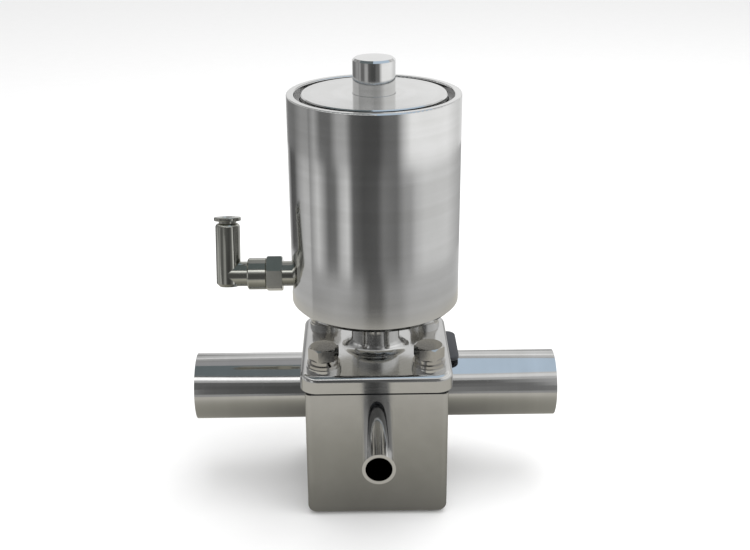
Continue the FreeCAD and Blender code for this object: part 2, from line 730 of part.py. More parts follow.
def make_bonnet():
    """Square plate, neck and threaded spigot in one piece, bored for stem and compressor."""
    body = document.addObject("PartDesign::Body", "Bonnet")
    sketch = square(new_sketch(body, "PlateSquare", "XY_Plane", plate_base), "Dim.plateWidth")
    feature(body, "PartDesign::Pad", "Plate", sketch, Length="Dim.plateThickness")
    document.recompute()
    soften(body, "PlateCorners", "PartDesign::Fillet", "Dim.plateCornerRound", upright)
    soften(body, "PlateEdge", "PartDesign::Fillet", "Dim.plateEdgeRound", level_at(plate_top))

    neck = half("Dim.neckDiameter")
    foot = total(neck, "Dim.neckFootRound")
    inside = less(plate_top, "Dim.overcut")
    corners = [
        ("0", inside),
        (foot, inside),
        (foot, plate_top),
        (neck, total(plate_top, "Dim.neckFootRound")),
        (neck, neck_top),
        (spigot_radius, neck_top),
        (spigot_radius, less(spigot_top, "Dim.endBreak")),
        (less(spigot_radius, "Dim.endBreak"), spigot_top),
        ("0", spigot_top),
    ]
    profile = new_sketch(body, "NeckSection", "XZ_Plane")
    outline(profile, corners, arcs={2: (foot, -1)})
    full_turn(feature(body, "PartDesign::Revolution", "Neck", profile), profile)

    pads = new_sketch(body, "PadCircles", "XY_Plane", inside)
    for a, b in bolt_sides:
        ring_sketch(pads, f"{a} * {bolt_reach}", f"{b} * {bolt_reach}", half("Dim.padDiameter"))
    feature(body, "PartDesign::Pad", "Pads", pads, Length="Dim.padHeight + Dim.overcut")

    slide_bore = total(half("Dim.compressorDiameter"), "Dim.runningGap")
    bush_seat = total(stem_bore, "Dim.stemBushWall")
    bush_low = less(spigot_top, "Dim.stemBushHeight")
    corners = [
        ("0", less(plate_base, "Dim.overcut")),
        (dish_radius, less(plate_base, "Dim.overcut")),
        (dish_radius, plate_base),
        (slide_bore, total(plate_base, "Dim.domeHeight")),
        (slide_bore, compressor_roof),
        (stem_bore, compressor_roof),
        (stem_bore, bush_low),
        (bush_seat, bush_low),
        (bush_seat, total(spigot_top, "Dim.overcut")),
        ("0", total(spigot_top, "Dim.overcut")),
    ]
    groove(body, "StemBore", corners)
    for i in range(2):
        middle = stem_seal_level(i)
        reach = half("Dim.stemSealSection + 2 * Dim.ringSqueeze")
        deep = total(stem_bore, "Dim.stemSealSection", "Dim.ringSqueeze")
        corners = [
            ("Dim.stemDiameter / 4", less(middle, reach)),
            (deep, less(middle, reach)),
            (deep, total(middle, reach)),
            ("Dim.stemDiameter / 4", total(middle, reach)),
        ]
        groove(body, f"StemSealGroove{i}", corners)
    before = volume_now(body)
    holes = new_sketch(body, "BoltCircles", "XY_Plane", total(pad_top, "Dim.overcut"))
    hole = total(half("Dim.boltDiameter"), "Dim.boltHoleGap")
    for a, b in bolt_sides:
        ring_sketch(holes, f"{a} * {bolt_reach}", f"{b} * {bolt_reach}", hole)
    drill = feature(body, "PartDesign::Pocket", "BoltHoles", holes)
    drill.setExpression("Length", "Dim.plateThickness + Dim.padHeight + 2 * Dim.overcut")
    check_cut(body, before, "BoltHoles")
    return node("bonnet", body)


def stem_seal_level(i):
    return less(neck_top, "Dim.stemSealDepth", f"{i} * Dim.stemSealPitch")


def make_stem_guides():
    outer = less(total(stem_bore, "Dim.stemBushWall"), "Dim.threadGap")
    low = less(spigot_top, "Dim.stemBushHeight")
    corners = [
        (stem_bore, total(low, "Dim.contactGap")),
        (outer, total(low, "Dim.contactGap")),
        (outer, spigot_top),
        (stem_bore, spigot_top),
    ]
    node("stem_bush", turned("StemBush", corners))
    middle = total(stem_bore, half("Dim.stemSealSection"))
    rings = [
        o_ring(f"StemSeal{i}", middle, stem_seal_level(i), "Dim.stemSealSection")
        for i in range(2)
    ]
    node("stem_seals", group("StemSeals", rings))


# ---------------------------------------------------------------- bolts and washers


def hex_prism(name, flats, height, z, x="0", y="0", spin="0"):
    """A hexagon bar whose top corners are cut by a cone."""
    round_radius = f"({flats}) / (2 * cos(30))"
    prism = helper("Part::Prism", name + "Prism", Circumradius=round_radius, Height=height)
    prism.Polygon = 6
    place(prism, x, y, z, f"rotation({spin}; 0; 0)")
    crown = helper(
        "Part::Cone", name + "Crown", Height=height,
        Radius1=f"{round_radius} + ({height}) / tan(30)",
        Radius2=f"({flats}) / 2 * Dim.hexFaceShare",
    )
    place(crown, x, y, z)
    return common(name + "Hex", prism, crown)


def make_bolts():
    """Four hexagon bolts with a flat and a split washer each."""
    washer_top = total(pad_top, "Dim.washerThickness")
    lock_top = total(washer_top, "Dim.lockWasherThickness")
    bolt_radius = half("Dim.boltDiameter")
    hole = total(bolt_radius, "Dim.boltHoleGap")
    shank_low = less(seat, "Dim.boltEngagement")
    bolts, washers, lock_washers = [], [], []
    for i, (a, b) in enumerate(bolt_sides):
        spot = {"x": f"{a} * {bolt_reach}", "y": f"{b} * {bolt_reach}"}
        head = hex_prism(
            f"BoltHead{i}", "Dim.boltHeadFlats", "Dim.boltHeadHeight", lock_top,
            spin=f"Dim.boltHeadStart + {i} * Dim.boltHeadTurn", **spot,
        )
        shank_length = less(total(lock_top, "Dim.overcut"), shank_low)
        shank = cylinder(f"BoltShank{i}", bolt_radius, shank_length, z=shank_low, **spot)
        bolt = document.addObject("Part::Fuse", f"Bolt{i}")
        bolt.Base = head
        bolt.Tool = shank
        bolts.append(bolt)
        disc = cylinder(f"Washer{i}", half("Dim.washerDiameter"), "Dim.washerThickness",
                        z=pad_top, **spot)
        bore = cylinder(f"WasherHole{i}", hole, "Dim.washerThickness + 2 * Dim.overcut",
                        z=less(pad_top, "Dim.overcut"), **spot)
        washers.append(cut(f"WasherCut{i}", disc, bore))
        lock_washers.append(make_lock_washer(i, washer_top, hole, spot))
    node("bonnet_bolts", group("Bolts", bolts))
    node("flat_washers", group("FlatWashers", washers))
    node("lock_washers", group("LockWashers", lock_washers))


def make_lock_washer(i, base, hole, spot):
    """A spring washer with a slanting slit."""
    outer = half("Dim.lockWasherDiameter")
    disc = cylinder(f"LockDisc{i}", outer, "Dim.lockWasherThickness", z=base, **spot)
    bore = cylinder(f"LockHole{i}", hole, "Dim.lockWasherThickness + 2 * Dim.overcut",
                    z=less(base, "Dim.overcut"), **spot)
    slit = helper(
        "Part::Box", f"LockSlit{i}",
        Length=outer, Width="Dim.lockWasherSlit", Height="Dim.lockWasherThickness * 3",
    )
    about = f"Dim.lockWasherStart + {i} * Dim.lockWasherTurn"
    turn = f"rotation({about}; 0; Dim.lockWasherLean)"
    place(slit, z=less(base, "Dim.lockWasherThickness"), turn=turn, **spot)
    return cut(f"LockWasher{i}", disc, bore, slit)


# ---------------------------------------------------------------- stem and compressor


def make_compressor():
    """Round block that follows the membrane below and takes the stem above."""
    radius = half("Dim.compressorDiameter")
    sag = f"{membrane_sag} * ({radius} / {dish_radius})^2"
    corners = [
        ("0", compressor_low),
        (radius, total(compressor_low, sag)),
        (radius, less(compressor_top, "Dim.endBreak")),
        (less(radius, "Dim.endBreak"), compressor_top),
        ("0", compressor_top),
    ]
    body = turned("Compressor", corners, arcs={0: ("0", 1)})
    document.recompute()
    stud = total(half("Dim.studDiameter"), "Dim.threadGap")
    stud_end = total(compressor_low, "Dim.studEngagement", "Dim.tipGap")
    socket = total(half("Dim.stemDiameter"), "Dim.threadGap")
    below = less(compressor_low, "Dim.overcut")
    groove(body, "StudThread", [("0", below), (stud, below), (stud, stud_end), ("0", stud_end)])
    above = total(compressor_top, "Dim.overcut")
    groove(body, "StemSocket", [("0", stem_low), (socket, stem_low), (socket, above), ("0", above)])
    hole = pin_hole("PinHoleInCompressor", "Dim.compressorDiameter + 2 * Dim.overcut")
    return node("compressor", cut("CompressorCut", body, hole))


def cross_bar(name, radius, length):
    """A round bar across the axis at the cross pin's level."""
    return cylinder(name, radius, length, x=f"-({length}) / 2", z=pin_level,
                    turn="rotation(0; 90; 0)")


def pin_hole(name, length):
    return cross_bar(name, total(half("Dim.pinDiameter"), "Dim.threadGap"), length)


def make_stem():
    radius = half("Dim.stemDiameter")
    neck = half("Dim.stemTopDiameter")
    top = total(piston_top, "Dim.stemTopThread")
    corners = [
        ("0", total(stem_low, "Dim.contactGap")),
        (less(radius, "Dim.smallBreak"), total(stem_low, "Dim.contactGap")),
        (radius, total(stem_low, "Dim.smallBreak", "Dim.contactGap")),
        (radius, piston_base),
        (neck, piston_base),
        (neck, less(top, "Dim.endBreak")),
        (less(neck, "Dim.endBreak"), top),
        ("0", top),
    ]
    body = turned("StemTurned", corners)
    hole = pin_hole("PinHoleInStem", "Dim.stemDiameter + 2 * Dim.overcut")
    node("stem", cut("StemCut", body, hole))
    length = "Dim.compressorDiameter - 2 * Dim.pinInset"
    node("compressor_pin", cross_bar("Pin", half("Dim.pinDiameter"), length))


# ---------------------------------------------------------------- actuator


def make_housing():
    """Turned cup: floor on the neck, thick walled air chamber, thin walled cylinder above."""
    chamfer = "Dim.housingFootChamfer"
    soft = "Dim.housingRimRound"
    ring_low = less(cover_shoulder, "Dim.contactGap")
    ring_high = total(cover_shoulder, "Dim.snapRingThickness", "Dim.contactGap")
    ring_deep = total(cylinder_bore, "Dim.snapRingBite", "Dim.contactGap")
    corners = [
        (spigot_hole, neck_top),
        (less(housing_radius, chamfer), neck_top),
        (housing_radius, total(neck_top, chamfer)),
        (housing_radius, less(rim, soft)),
        (less(housing_radius, soft), rim),
        (total(cylinder_bore, soft), rim),
        (cylinder_bore, less(rim, soft)),
        (cylinder_bore, ring_high),
        (ring_deep, ring_high),
        (ring_deep, ring_low),
        (cylinder_bore, ring_low),
        (cylinder_bore, chamber_top),
        (chamber_bore, chamber_top),
        (chamber_bore, floor_top),
        (spigot_hole, floor_top),
    ]
    arcs = {3: (less(housing_radius, soft), 1), 5: (total(cylinder_bore, soft), 1)}
    body = turned("Housing", corners, arcs)
    document.recompute()
    middle = total(neck_top, half("Dim.floorThickness"))
    reach = half("Dim.housingSealSection + 2 * Dim.ringSqueeze")
    deep = total(spigot_radius, "Dim.housingSealSection", "2 * Dim.ringSqueeze")
    corners = [
        ("Dim.spigotDiameter / 4", less(middle, reach)),
        (deep, less(middle, reach)),
        (deep, total(middle, reach)),
        ("Dim.spigotDiameter / 4", total(middle, reach)),
    ]
    groove(body, "FloorSealGroove", corners)
    to_the_left = "rotation(0; -90; 0)"
    port_bore = total(half("Dim.portThread"), "Dim.threadGap")
    port = cylinder("Port", port_bore, "Dim.chamberWall + 2 * Dim.overcut",
                    x=f"-({chamber_bore}) + Dim.overcut", z=port_level, turn=to_the_left)
    flat = cylinder("SpotFace", half("Dim.spotFaceDiameter"), "Dim.spotFaceDepth + Dim.overcut",
                    x=f"-({spot_face})", z=port_level, turn=to_the_left)
    vent = cylinder("Vent", half("Dim.ventDiameter"), "Dim.housingWall + 2 * Dim.overcut",
                    y=less(cylinder_bore, "Dim.overcut"), z=total(neck_top, "Dim.ventHeight"),
                    turn="rotation(0; 0; -90)")
    node("actuator_housing", cut("HousingCut", body, port, flat, vent))

    nut_hex = hex_prism("HousingNut", "Dim.nutFlats", "Dim.nutHeight", floor_top)
    nut_bore = cylinder("NutBore", spigot_hole, "Dim.nutHeight + 2 * Dim.overcut",
                        z=less(floor_top, "Dim.overcut"))
    node("housing_nut", cut("Nut", nut_hex, nut_bore))
    seal_radius = total(spigot_radius, "Dim.ringSqueeze", half("Dim.housingSealSection"))
    node("housing_seal", o_ring("FloorSeal", seal_radius, middle, "Dim.housingSealSection"))


def make_piston():
    """Skirted piston with a trough for the springs, a seal below and a guide ring above."""
    outer = less(cylinder_bore, "Dim.pistonGap")
    seal_deep = less(outer, "Dim.pistonSealDepth")
    guide_deep = less(outer, "Dim.guideRingDepth")
    seal_low = total(piston_base, "Dim.ringGrooveEdge")
    seal_high = total(seal_low, "Dim.pistonSealHeight")
    guide_high = less(piston_top, "Dim.ringGrooveEdge")
    guide_low = less(guide_high, "Dim.guideRingHeight")
    hub = half("Dim.pistonHubDiameter")
    trough = half("Dim.pistonTroughDiameter")
    corners = [
        (stem_top_bore, piston_base),
        (less(outer, "Dim.edgeBreak"), piston_base),
        (outer, total(piston_base, "Dim.edgeBreak")),
        (outer, seal_low),
        (seal_deep, seal_low),
        (seal_deep, seal_high),
        (outer, seal_high),
        (outer, guide_low),
        (guide_deep, guide_low),
        (guide_deep, guide_high),
        (outer, guide_high),
        (outer, less(piston_top, "Dim.edgeBreak")),
        (less(outer, "Dim.edgeBreak"), piston_top),
        (trough, piston_top),
        (trough, spring_base),
        (hub, spring_base),
        (hub, piston_top),
        (stem_top_bore, piston_top),
    ]
    node("piston", turned("Piston", corners))
    gap = "Dim.contactGap"
    lip = less(cylinder_bore, "Dim.runningGap")
    corners = [
        (total(seal_deep, gap), total(seal_low, gap)),
        (less(lip, "Dim.smallBreak"), total(seal_low, gap)),
        (lip, total(seal_low, "Dim.pistonSealLip")),
        (lip, less(seal_high, "Dim.pistonSealLip")),
        (less(lip, "Dim.smallBreak"), less(seal_high, gap)),
        (total(seal_deep, gap), less(seal_high, gap)),
    ]
    node("piston_seal", turned("PistonSeal", corners))
    corners = [
        (total(guide_deep, gap), total(guide_low, gap)),
        (lip, total(guide_low, gap)),
        (lip, less(guide_high, gap)),
        (total(guide_deep, gap), less(guide_high, gap)),
    ]
    node("piston_guide_ring", turned("GuideRing", corners))


def make_spring(name, diameter, wire, turns):
    """A coil of round wire between the piston's trough and the cover."""
    low = total(spring_base, half(wire), "Dim.contactGap")
    high = less(cover_base, half(wire), "Dim.contactGap")
    radius = half(diameter)
    coil = helper("Part::Helix", name + "Line", Radius=radius)
    coil.setExpression("Height", less(high, low))
    coil.setExpression("Pitch", f"({less(high, low)}) / ({turns})")
    coil.SegmentLength = 1  # one edge for each turn, so that each turn is a face of its own
    place(coil, z=low)
    ring = helper("Part::Circle", name + "Section", Radius=half(wire))
    place(ring, radius, "0", low, "rotation(0; 0; 90)")
    sweep = document.addObject("Part::Sweep", name + "Wire")
    sweep.Sections = [ring]
    sweep.Spine = (coil, [])
    sweep.Solid = True
    sweep.Frenet = True
    return sweep


def make_springs():
    outer = ("Dim.outerSpringDiameter", "Dim.outerSpringWire", "Dim.outerSpringTurns")
    inner = ("Dim.innerSpringDiameter", "Dim.innerSpringWire", "Dim.innerSpringTurns")
    node("outer_spring", make_spring("OuterSpring", *outer))
    node("inner_spring", make_spring("InnerSpring", *inner))


def make_cover():
    """Stepped disc flush with the rim, held down by the retaining ring on its shoulder."""
    outer = less(cylinder_bore, "Dim.coverGap")
    boss = half("Dim.coverBossDiameter")
    bush = total(rod_bore, "Dim.rodBushWall")
    bush_high = total(cover_base, "Dim.rodBushHeight")
    seal_middle = total(cover_base, half(less("Dim.coverHeight", "Dim.coverBossHeight")))
    seal_reach = half("Dim.coverSealSection + 2 * Dim.ringSqueeze")
    seal_deep = less(cylinder_bore, "Dim.coverSealSection", "2 * Dim.ringSqueeze")
    corners = [
        (bush, cover_base),
        (less(outer, "Dim.smallBreak"), cover_base),
        (outer, total(cover_base, "Dim.smallBreak")),
        (outer, less(seal_middle, seal_reach)),
        (seal_deep, less(seal_middle, seal_reach)),
        (seal_deep, total(seal_middle, seal_reach)),
        (outer, total(seal_middle, seal_reach)),
        (outer, cover_shoulder),
        (boss, cover_shoulder),
        (boss, less(rim, "Dim.edgeBreak")),
        (less(boss, "Dim.edgeBreak"), rim),
        (total(rod_bore, "Dim.fineBreak"), rim),
        (rod_bore, less(rim, "Dim.fineBreak")),
        (rod_bore, bush_high),
        (bush, bush_high),
    ]
    body = turned("Cover", corners)
    document.recompute()
    ring_middle = rod_seal_level()
    reach = half("Dim.rodSealSection + 2 * Dim.ringSqueeze")
    deep = total(rod_bore, "Dim.rodSealSection", "Dim.ringSqueeze")
    inside = less(rod_radius, "Dim.overcut")
    corners = [
        (inside, less(ring_middle, reach)),
        (deep, less(ring_middle, reach)),
        (deep, total(ring_middle, reach)),
        (inside, total(ring_middle, reach)),
    ]
    groove(body, "RodSealGroove", corners)
    node("top_cover", body)
    section = "Dim.coverSealSection"
    radius = less(cylinder_bore, half(section), "Dim.ringSqueeze")
    node("cover_seal", o_ring("CoverSeal", radius, seal_middle, section))
    section = "Dim.rodSealSection"
    node("rod_seal", o_ring("RodSeal", total(rod_bore, half(section)), ring_middle, section))
    wall = less(bush, "Dim.threadGap")
    high = less(bush_high, "Dim.contactGap")
    corners = [(rod_bore, cover_base), (wall, cover_base), (wall, high), (rod_bore, high)]
    node("rod_bush", turned("RodBush", corners))


def rod_seal_level():
    """Middle of the room between the rod's bush and the top face."""
    return less(rim, half(less("Dim.coverHeight", "Dim.rodBushHeight")))


def make_retaining_ring():
    """Snap ring in the wall's groove, open at the back, with two holes for pliers."""
    outer = total(cylinder_bore, "Dim.snapRingBite")
    inner = less(cylinder_bore, "Dim.snapRingReach")
    high = total(cover_shoulder, "Dim.snapRingThickness")
    corners = [(inner, cover_shoulder), (outer, cover_shoulder), (outer, high), (inner, high)]
    body = turned("SnapRing", corners)
    gap = helper(
        "Part::Box", "SnapRingGap",
        Length="Dim.snapRingOpening", Width=total(outer, "Dim.overcut"),
        Height="Dim.snapRingThickness + 2 * Dim.overcut",
    )
    place(gap, x="-Dim.snapRingOpening / 2", z=less(cover_shoulder, "Dim.overcut"))
    middle = less(cylinder_bore, half("Dim.snapRingReach"))
    eyes = []
    for side in (-1, 1):
        angle = f"(Dim.snapRingOpening / 2 + Dim.pliersHoleInset) / ({middle}) * 180 / pi"
        eyes.append(cylinder(
            f"PliersHole{side + 1}", half("Dim.pliersHole"),
            "Dim.snapRingThickness + 2 * Dim.overcut",
            x=f"{side} * {middle} * sin({angle})", y=f"{middle} * cos({angle})",
            z=less(cover_shoulder, "Dim.overcut"),
        ))
    node("retaining_ring", cut("SnapRingCut", body, gap, *eyes))


def make_rod():
    """Indicator rod, screwed on the stem's upper thread against the piston."""
    top_bore = total(piston_top, "Dim.stemTopThread", "Dim.tipGap")
    chamfer = "Dim.rodChamfer"
    corners = [
        (stem_top_bore, piston_top),
        (rod_radius, piston_top),
        (rod_radius, less(rod_top, chamfer)),
        (less(rod_radius, chamfer), rod_top),
        ("0", rod_top),
        ("0", top_bore),
        (stem_top_bore, top_bore),
    ]
    node("indicator_rod", turned("Rod", corners))


# ---------------------------------------------------------------- air fitting
# Drawn with x pointing away from the spot face and z up the leg, then turned about Z to face -X and
# leaned about the arm.

outward = f"placement(vector(-({spot_face}); 0; {port_level}); rotation(180; 0; 0))"
leaned = f"placement(vector(-({spot_face}); 0; {port_level}); rotation(180; 0; Dim.elbowTurn))"

hex_start = "Dim.collarLength"
hex_end = total(hex_start, "Dim.hexLength")
tail_end = total(hex_end, "Dim.tailLength")
sleeve_start = total(hex_end, "Dim.sleeveGap")
sleeve_end = total(sleeve_start, "Dim.sleeveLength")
leg_x = "Dim.elbowReach"
tail_bore = total(half("Dim.tailDiameter"), "Dim.runningGap")
airway = half("Dim.airwayDiameter")
swivel_seal_x = less(tail_end, "Dim.swivelSealInset")
button_low = total("Dim.legHeight", "Dim.buttonTravel", "Dim.stopGap")
button_top = total(button_low, "Dim.buttonThickness")
hose_bore = total(half("Dim.hoseDiameter"), "Dim.hoseGap")
collet_seat = total(half("Dim.colletDiameter"), "Dim.threadGap")
hose_stop = less("Dim.legHeight", "Dim.hoseDepth")
hose_seal_low = total(hose_stop, "Dim.hoseStopHeight")
hose_seal_high = total(hose_seal_low, "Dim.hoseSealHeight")
collet_high = total(hose_seal_high, "Dim.contactGap", "Dim.colletHeight")
button_tube_low = total(collet_high, "Dim.buttonTravel", "Dim.stopGap")


def outwards(thing, where=outward):
    thing.setExpression("Placement", where)
    return thing


def lay(name, corners):
    """A piece turned about the fitting's arm: (distance outward, radius) corners."""
    return outwards(turned(name, corners, axis="H_Axis"))


def make_port_adapter():
    """Threaded stud with collar and hexagon, and a tail on which the elbow swivels."""
    thread = half("Dim.portThread")
    thread_end = f"-({less(spot_face, chamber_bore)})"
    tail = half("Dim.tailDiameter")
    seal = "Dim.swivelSealSection"
    groove_deep = less(tail_bore, seal, "Dim.ringSqueeze")
    groove_half = half(total(seal, "2 * Dim.ringSqueeze"))
    collar = half("Dim.collarDiameter")
    port_seal_end = port_seal_depth()
    port_seal_out = total(thread, "Dim.portSealSection", "2 * Dim.ringSqueeze")
    core_start = total(hex_start, "Dim.coreSink")
    core_end = less(hex_end, "Dim.coreSink")
    core = less(half("Dim.hexFlats"), "Dim.coreInset")
    shoulder = half(less("Dim.collarDiameter", "Dim.coreInset"))
    corners = [
        (thread_end, airway),
        (thread_end, less(thread, "Dim.smallBreak")),
        (total(thread_end, "Dim.smallBreak"), thread),
        ("0", thread),
        (port_seal_end, thread),
        (port_seal_end, port_seal_out),
        ("0", port_seal_out),
        ("0", less(collar, "Dim.collarBreak")),
        ("Dim.collarBreak", collar),
        (core_start, collar),
        (core_start, core),
        (core_end, core),
        (core_end, shoulder),
        (hex_end, shoulder),
        (hex_end, tail),
        (less(swivel_seal_x, groove_half), tail),
        (less(swivel_seal_x, groove_half), groove_deep),
        (total(swivel_seal_x, groove_half), groove_deep),
        (total(swivel_seal_x, groove_half), tail),
        (less(tail_end, "Dim.edgeBreak"), tail),
        (tail_end, less(tail, "Dim.edgeBreak")),
        (tail_end, airway),
    ]
    body = turned("AdapterTurned", corners, axis="H_Axis")
    round_radius = "Dim.hexFlats / (2 * cos(30))"
    prism = helper("Part::Prism", "AdapterPrism", Circumradius=round_radius, Height="Dim.hexLength")
    prism.Polygon = 6
    place(prism, hex_start, "0", "0", "rotation(0; 90; 0)")
    crowned = document.addObject("PartDesign::Body", "AdapterCrown")
    bevel = "Dim.hexBevel"
    corners = [
        (hex_start, less(tail, "Dim.overcut")),
        (hex_start, less(round_radius, bevel)),
        (total(hex_start, bevel), round_radius),
        (less(hex_end, bevel), round_radius),
        (hex_end, less(round_radius, bevel)),
        (hex_end, less(tail, "Dim.overcut")),
    ]
    sketch = outline(new_sketch(crowned, "CrownProfile", "XZ_Plane"), corners)
    full_turn(feature(crowned, "PartDesign::Revolution", "CrownTurn", sketch), sketch, "H_Axis")
    hexagon = common("AdapterHex", prism, crowned)
    adapter = document.addObject("Part::Fuse", "Adapter")
    adapter.Base = body
    adapter.Tool = hexagon
    node("port_adapter", outwards(adapter))

    port_ring = helper(
        "Part::Torus", "PortSeal",
        Radius1=total(thread, "Dim.ringSqueeze", half("Dim.portSealSection")),
        Radius2=half("Dim.portSealSection"),
    )
    lift = total(half("Dim.portSealSection"), "Dim.contactGap")
    place(port_ring, f"-({spot_face}) - {lift}", "0", port_level, "rotation(0; 90; 0)")
    node("adapter_seal", port_ring)
    swivel_ring = helper(
        "Part::Torus", "SwivelSeal",
        Radius1=less(tail_bore, half(seal), "Dim.contactGap"), Radius2=half(seal),
    )
    place(swivel_ring, f"-({spot_face}) - {swivel_seal_x}", "0", port_level, "rotation(0; 90; 0)")
    node("swivel_seal", swivel_ring)


def port_seal_depth():
    return total("Dim.portSealSection", "2 * Dim.contactGap")


def make_sleeve():
    """Round sleeve pressed on the elbow's arm, turning with it beside the hexagon."""
    outer = half("Dim.sleeveDiameter")
    inner = total(half("Dim.armDiameter"), "Dim.threadGap")
    corners = [
        (sleeve_start, inner),
        (sleeve_start, less(outer, "Dim.sleeveBreak")),
        (total(sleeve_start, "Dim.sleeveBreak"), outer),
        (less(sleeve_end, "Dim.smallBreak"), outer),
        (sleeve_end, less(outer, "Dim.smallBreak")),
        (sleeve_end, inner),
    ]
    node("swivel_sleeve", lay("Sleeve", corners))


def make_elbow():
    """Arm and leg meeting at a corner, bored for the tail, the air and the push-in parts."""
    arm = half("Dim.armDiameter")
    leg = half("Dim.legDiameter")
    corners = [(sleeve_start, "0"), (sleeve_start, arm), (leg_x, arm), (leg_x, "0")]
    arm_body = turned("ElbowArm", corners, axis="H_Axis")
    shoulder = less(leg, "Dim.legTopRound")
    top = "Dim.legHeight"
    corners = [
        ("0", f"-({arm})"),
        (less(leg, "Dim.legFootChamfer"), f"-({arm})"),
        (leg, f"-({arm}) + Dim.legFootChamfer"),
        (leg, less(top, "Dim.legTopRound")),
        (shoulder, top),
        ("0", top),
    ]
    leg_body = turned("ElbowLeg", corners, arcs={3: (shoulder, 1)})
    place(leg_body, x=leg_x)
    solid = document.addObject("Part::Fuse", "ElbowSolid")
    solid.Base = arm_body
    solid.Tool = leg_body

    across = "rotation(0; 90; 0)"
    bore_start = less(sleeve_start, "Dim.overcut")
    bore_length = less(total(tail_end, "Dim.tailGap"), bore_start)
    tail = cylinder("TailBore", tail_bore, bore_length, x=bore_start, turn=across)
    air = cylinder("ArmAirway", airway, less(leg_x, tail_end), x=tail_end, turn=across)
    rise = cylinder("LegAirway", airway, total(hose_stop, airway), x=leg_x, z=f"-({airway})")
    stop = cylinder("HoseBore", hose_bore, less(top, hose_stop), x=leg_x, z=hose_stop)
    collet = cylinder("ColletSeat", collet_seat, less(collet_high, hose_seal_low),
                      x=leg_x, z=hose_seal_low)
    guide = total(half("Dim.buttonNeckDiameter"), "Dim.runningGap")
    mouth_length = less(total(top, "Dim.overcut"), collet_high)
    mouth = cylinder("ButtonBore", guide, mouth_length, x=leg_x, z=collet_high)
    elbow = cut("Elbow", solid, tail, air, rise, stop, collet, mouth)
    node("elbow_body", outwards(elbow, leaned))


def on_leg(thing):
    """Move a piece drawn about its own axis to the leaning leg."""
    lean = "rotation(180; 0; Dim.elbowTurn)"
    x = f"-({spot_face}) - {leg_x}"
    thing.setExpression("Placement", f"placement(vector({x}; 0; {port_level}); {lean})")
    return thing


def make_push_in_parts():
    """Hose seal, gripping collet and the push ring that lets the hose go."""
    gap = "Dim.contactGap"
    seat_wall = half("Dim.colletDiameter")
    corners = [
        (hose_bore, total(hose_seal_low, gap)),
        (seat_wall, total(hose_seal_low, gap)),
        (seat_wall, less(hose_seal_high, gap)),
        (hose_bore, less(hose_seal_high, gap)),
    ]
    node("hose_seal", on_leg(turned("HoseSeal", corners)))
    high = less(collet_high, gap)
    corners = [
        (hose_bore, hose_seal_high),
        (seat_wall, hose_seal_high),
        (seat_wall, high),
        (total(hose_bore, "Dim.edgeBreak"), high),
        (hose_bore, less(high, "Dim.smallBreak")),
    ]
    body = turned("ColletTurned", corners)
    slots = []
    for i in range(2):
        slot = helper(
            "Part::Box", f"ColletSlot{i}",
            Length="Dim.colletDiameter + 2 * Dim.overcut", Width="Dim.colletSlot",
            Height="Dim.colletHeight - Dim.colletRing",
        )
        slots.append(slot)
        angle = 90 * i
        half_length = "(Dim.colletDiameter / 2 + Dim.overcut)"
        half_width = "Dim.colletSlot / 2"
        x = f"-{half_length} * cos({angle}) + {half_width} * sin({angle})"
        y = f"-{half_length} * sin({angle}) - {half_width} * cos({angle})"
        slot_low = total(hose_seal_high, "Dim.colletRing")
        place(slot, x=x, y=y, z=slot_low, turn=f"rotation({angle}; 0; 0)")
    node("collet", on_leg(cut("Collet", body, *slots)))
    outer = half("Dim.buttonDiameter")
    neck = half("Dim.buttonNeckDiameter")
    corners = [
        (hose_bore, button_tube_low),
        (neck, button_tube_low),
        (neck, button_low),
        (less(outer, "Dim.fineBreak"), button_low),
        (outer, total(button_low, "Dim.fineBreak")),
        (outer, less(button_top, "Dim.edgeBreak")),
        (less(outer, "Dim.edgeBreak"), button_top),
        (total(hose_bore, "Dim.smallBreak"), button_top),
        (hose_bore, less(button_top, "Dim.smallBreak")),
    ]
    arcs = {5: (less(outer, "Dim.edgeBreak"), 1)}
    node("release_collar", on_leg(turned("Button", corners, arcs)))


# ---------------------------------------------------------------- make, check and write

make_block()
make_tubes()
make_diaphragm()
make_stud()
make_bonnet()
make_stem_guides()
make_bolts()
make_compressor()
make_stem()
make_housing()
make_piston()
make_springs()
make_cover()
make_retaining_ring()
make_rod()
make_port_adapter()
make_sleeve()
make_elbow()
make_push_in_parts()
document.recompute()

for thing in document.Objects:
    if "Invalid" in thing.State or "Error" in thing.State:
        raise RuntimeError(f"{thing.Label} failed: {thing.State}")
for name, thing in NODES.items():
    if thing.Shape.isNull() or not thing.Shape.isValid():
        raise RuntimeError(f"{name} has no valid shape")

os.makedirs("parts", exist_ok=True)
for name, thing in NODES.items():
    thing.Shape.exportStep(f"parts/{name}.step")
    print(f"{name}: {len(thing.Shape.Solids)} solid(s), {thing.Shape.Volume:.1f} mm3")
print(len(NODES), "nodes")
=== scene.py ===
# %% [markdown]
# # A diaphragm valve with an air actuator
#
# This notebook dresses a finished CAD model of a stainless valve. The CAD gives every piece its
# exact size and place. What is left for Blender is what the eye sees: turned, polished and milled
# steel, moulded rubber, nickel plate, and the light of a small product studio.
#
# Everything is in metres in the CAD frame: +Z runs up the actuator, +X along the big pipe, and the
# small branch pipe points to -Y, towards the camera.

# %% Load the frame
import math

import bmesh
import bpy
from mathutils import Matrix, Vector


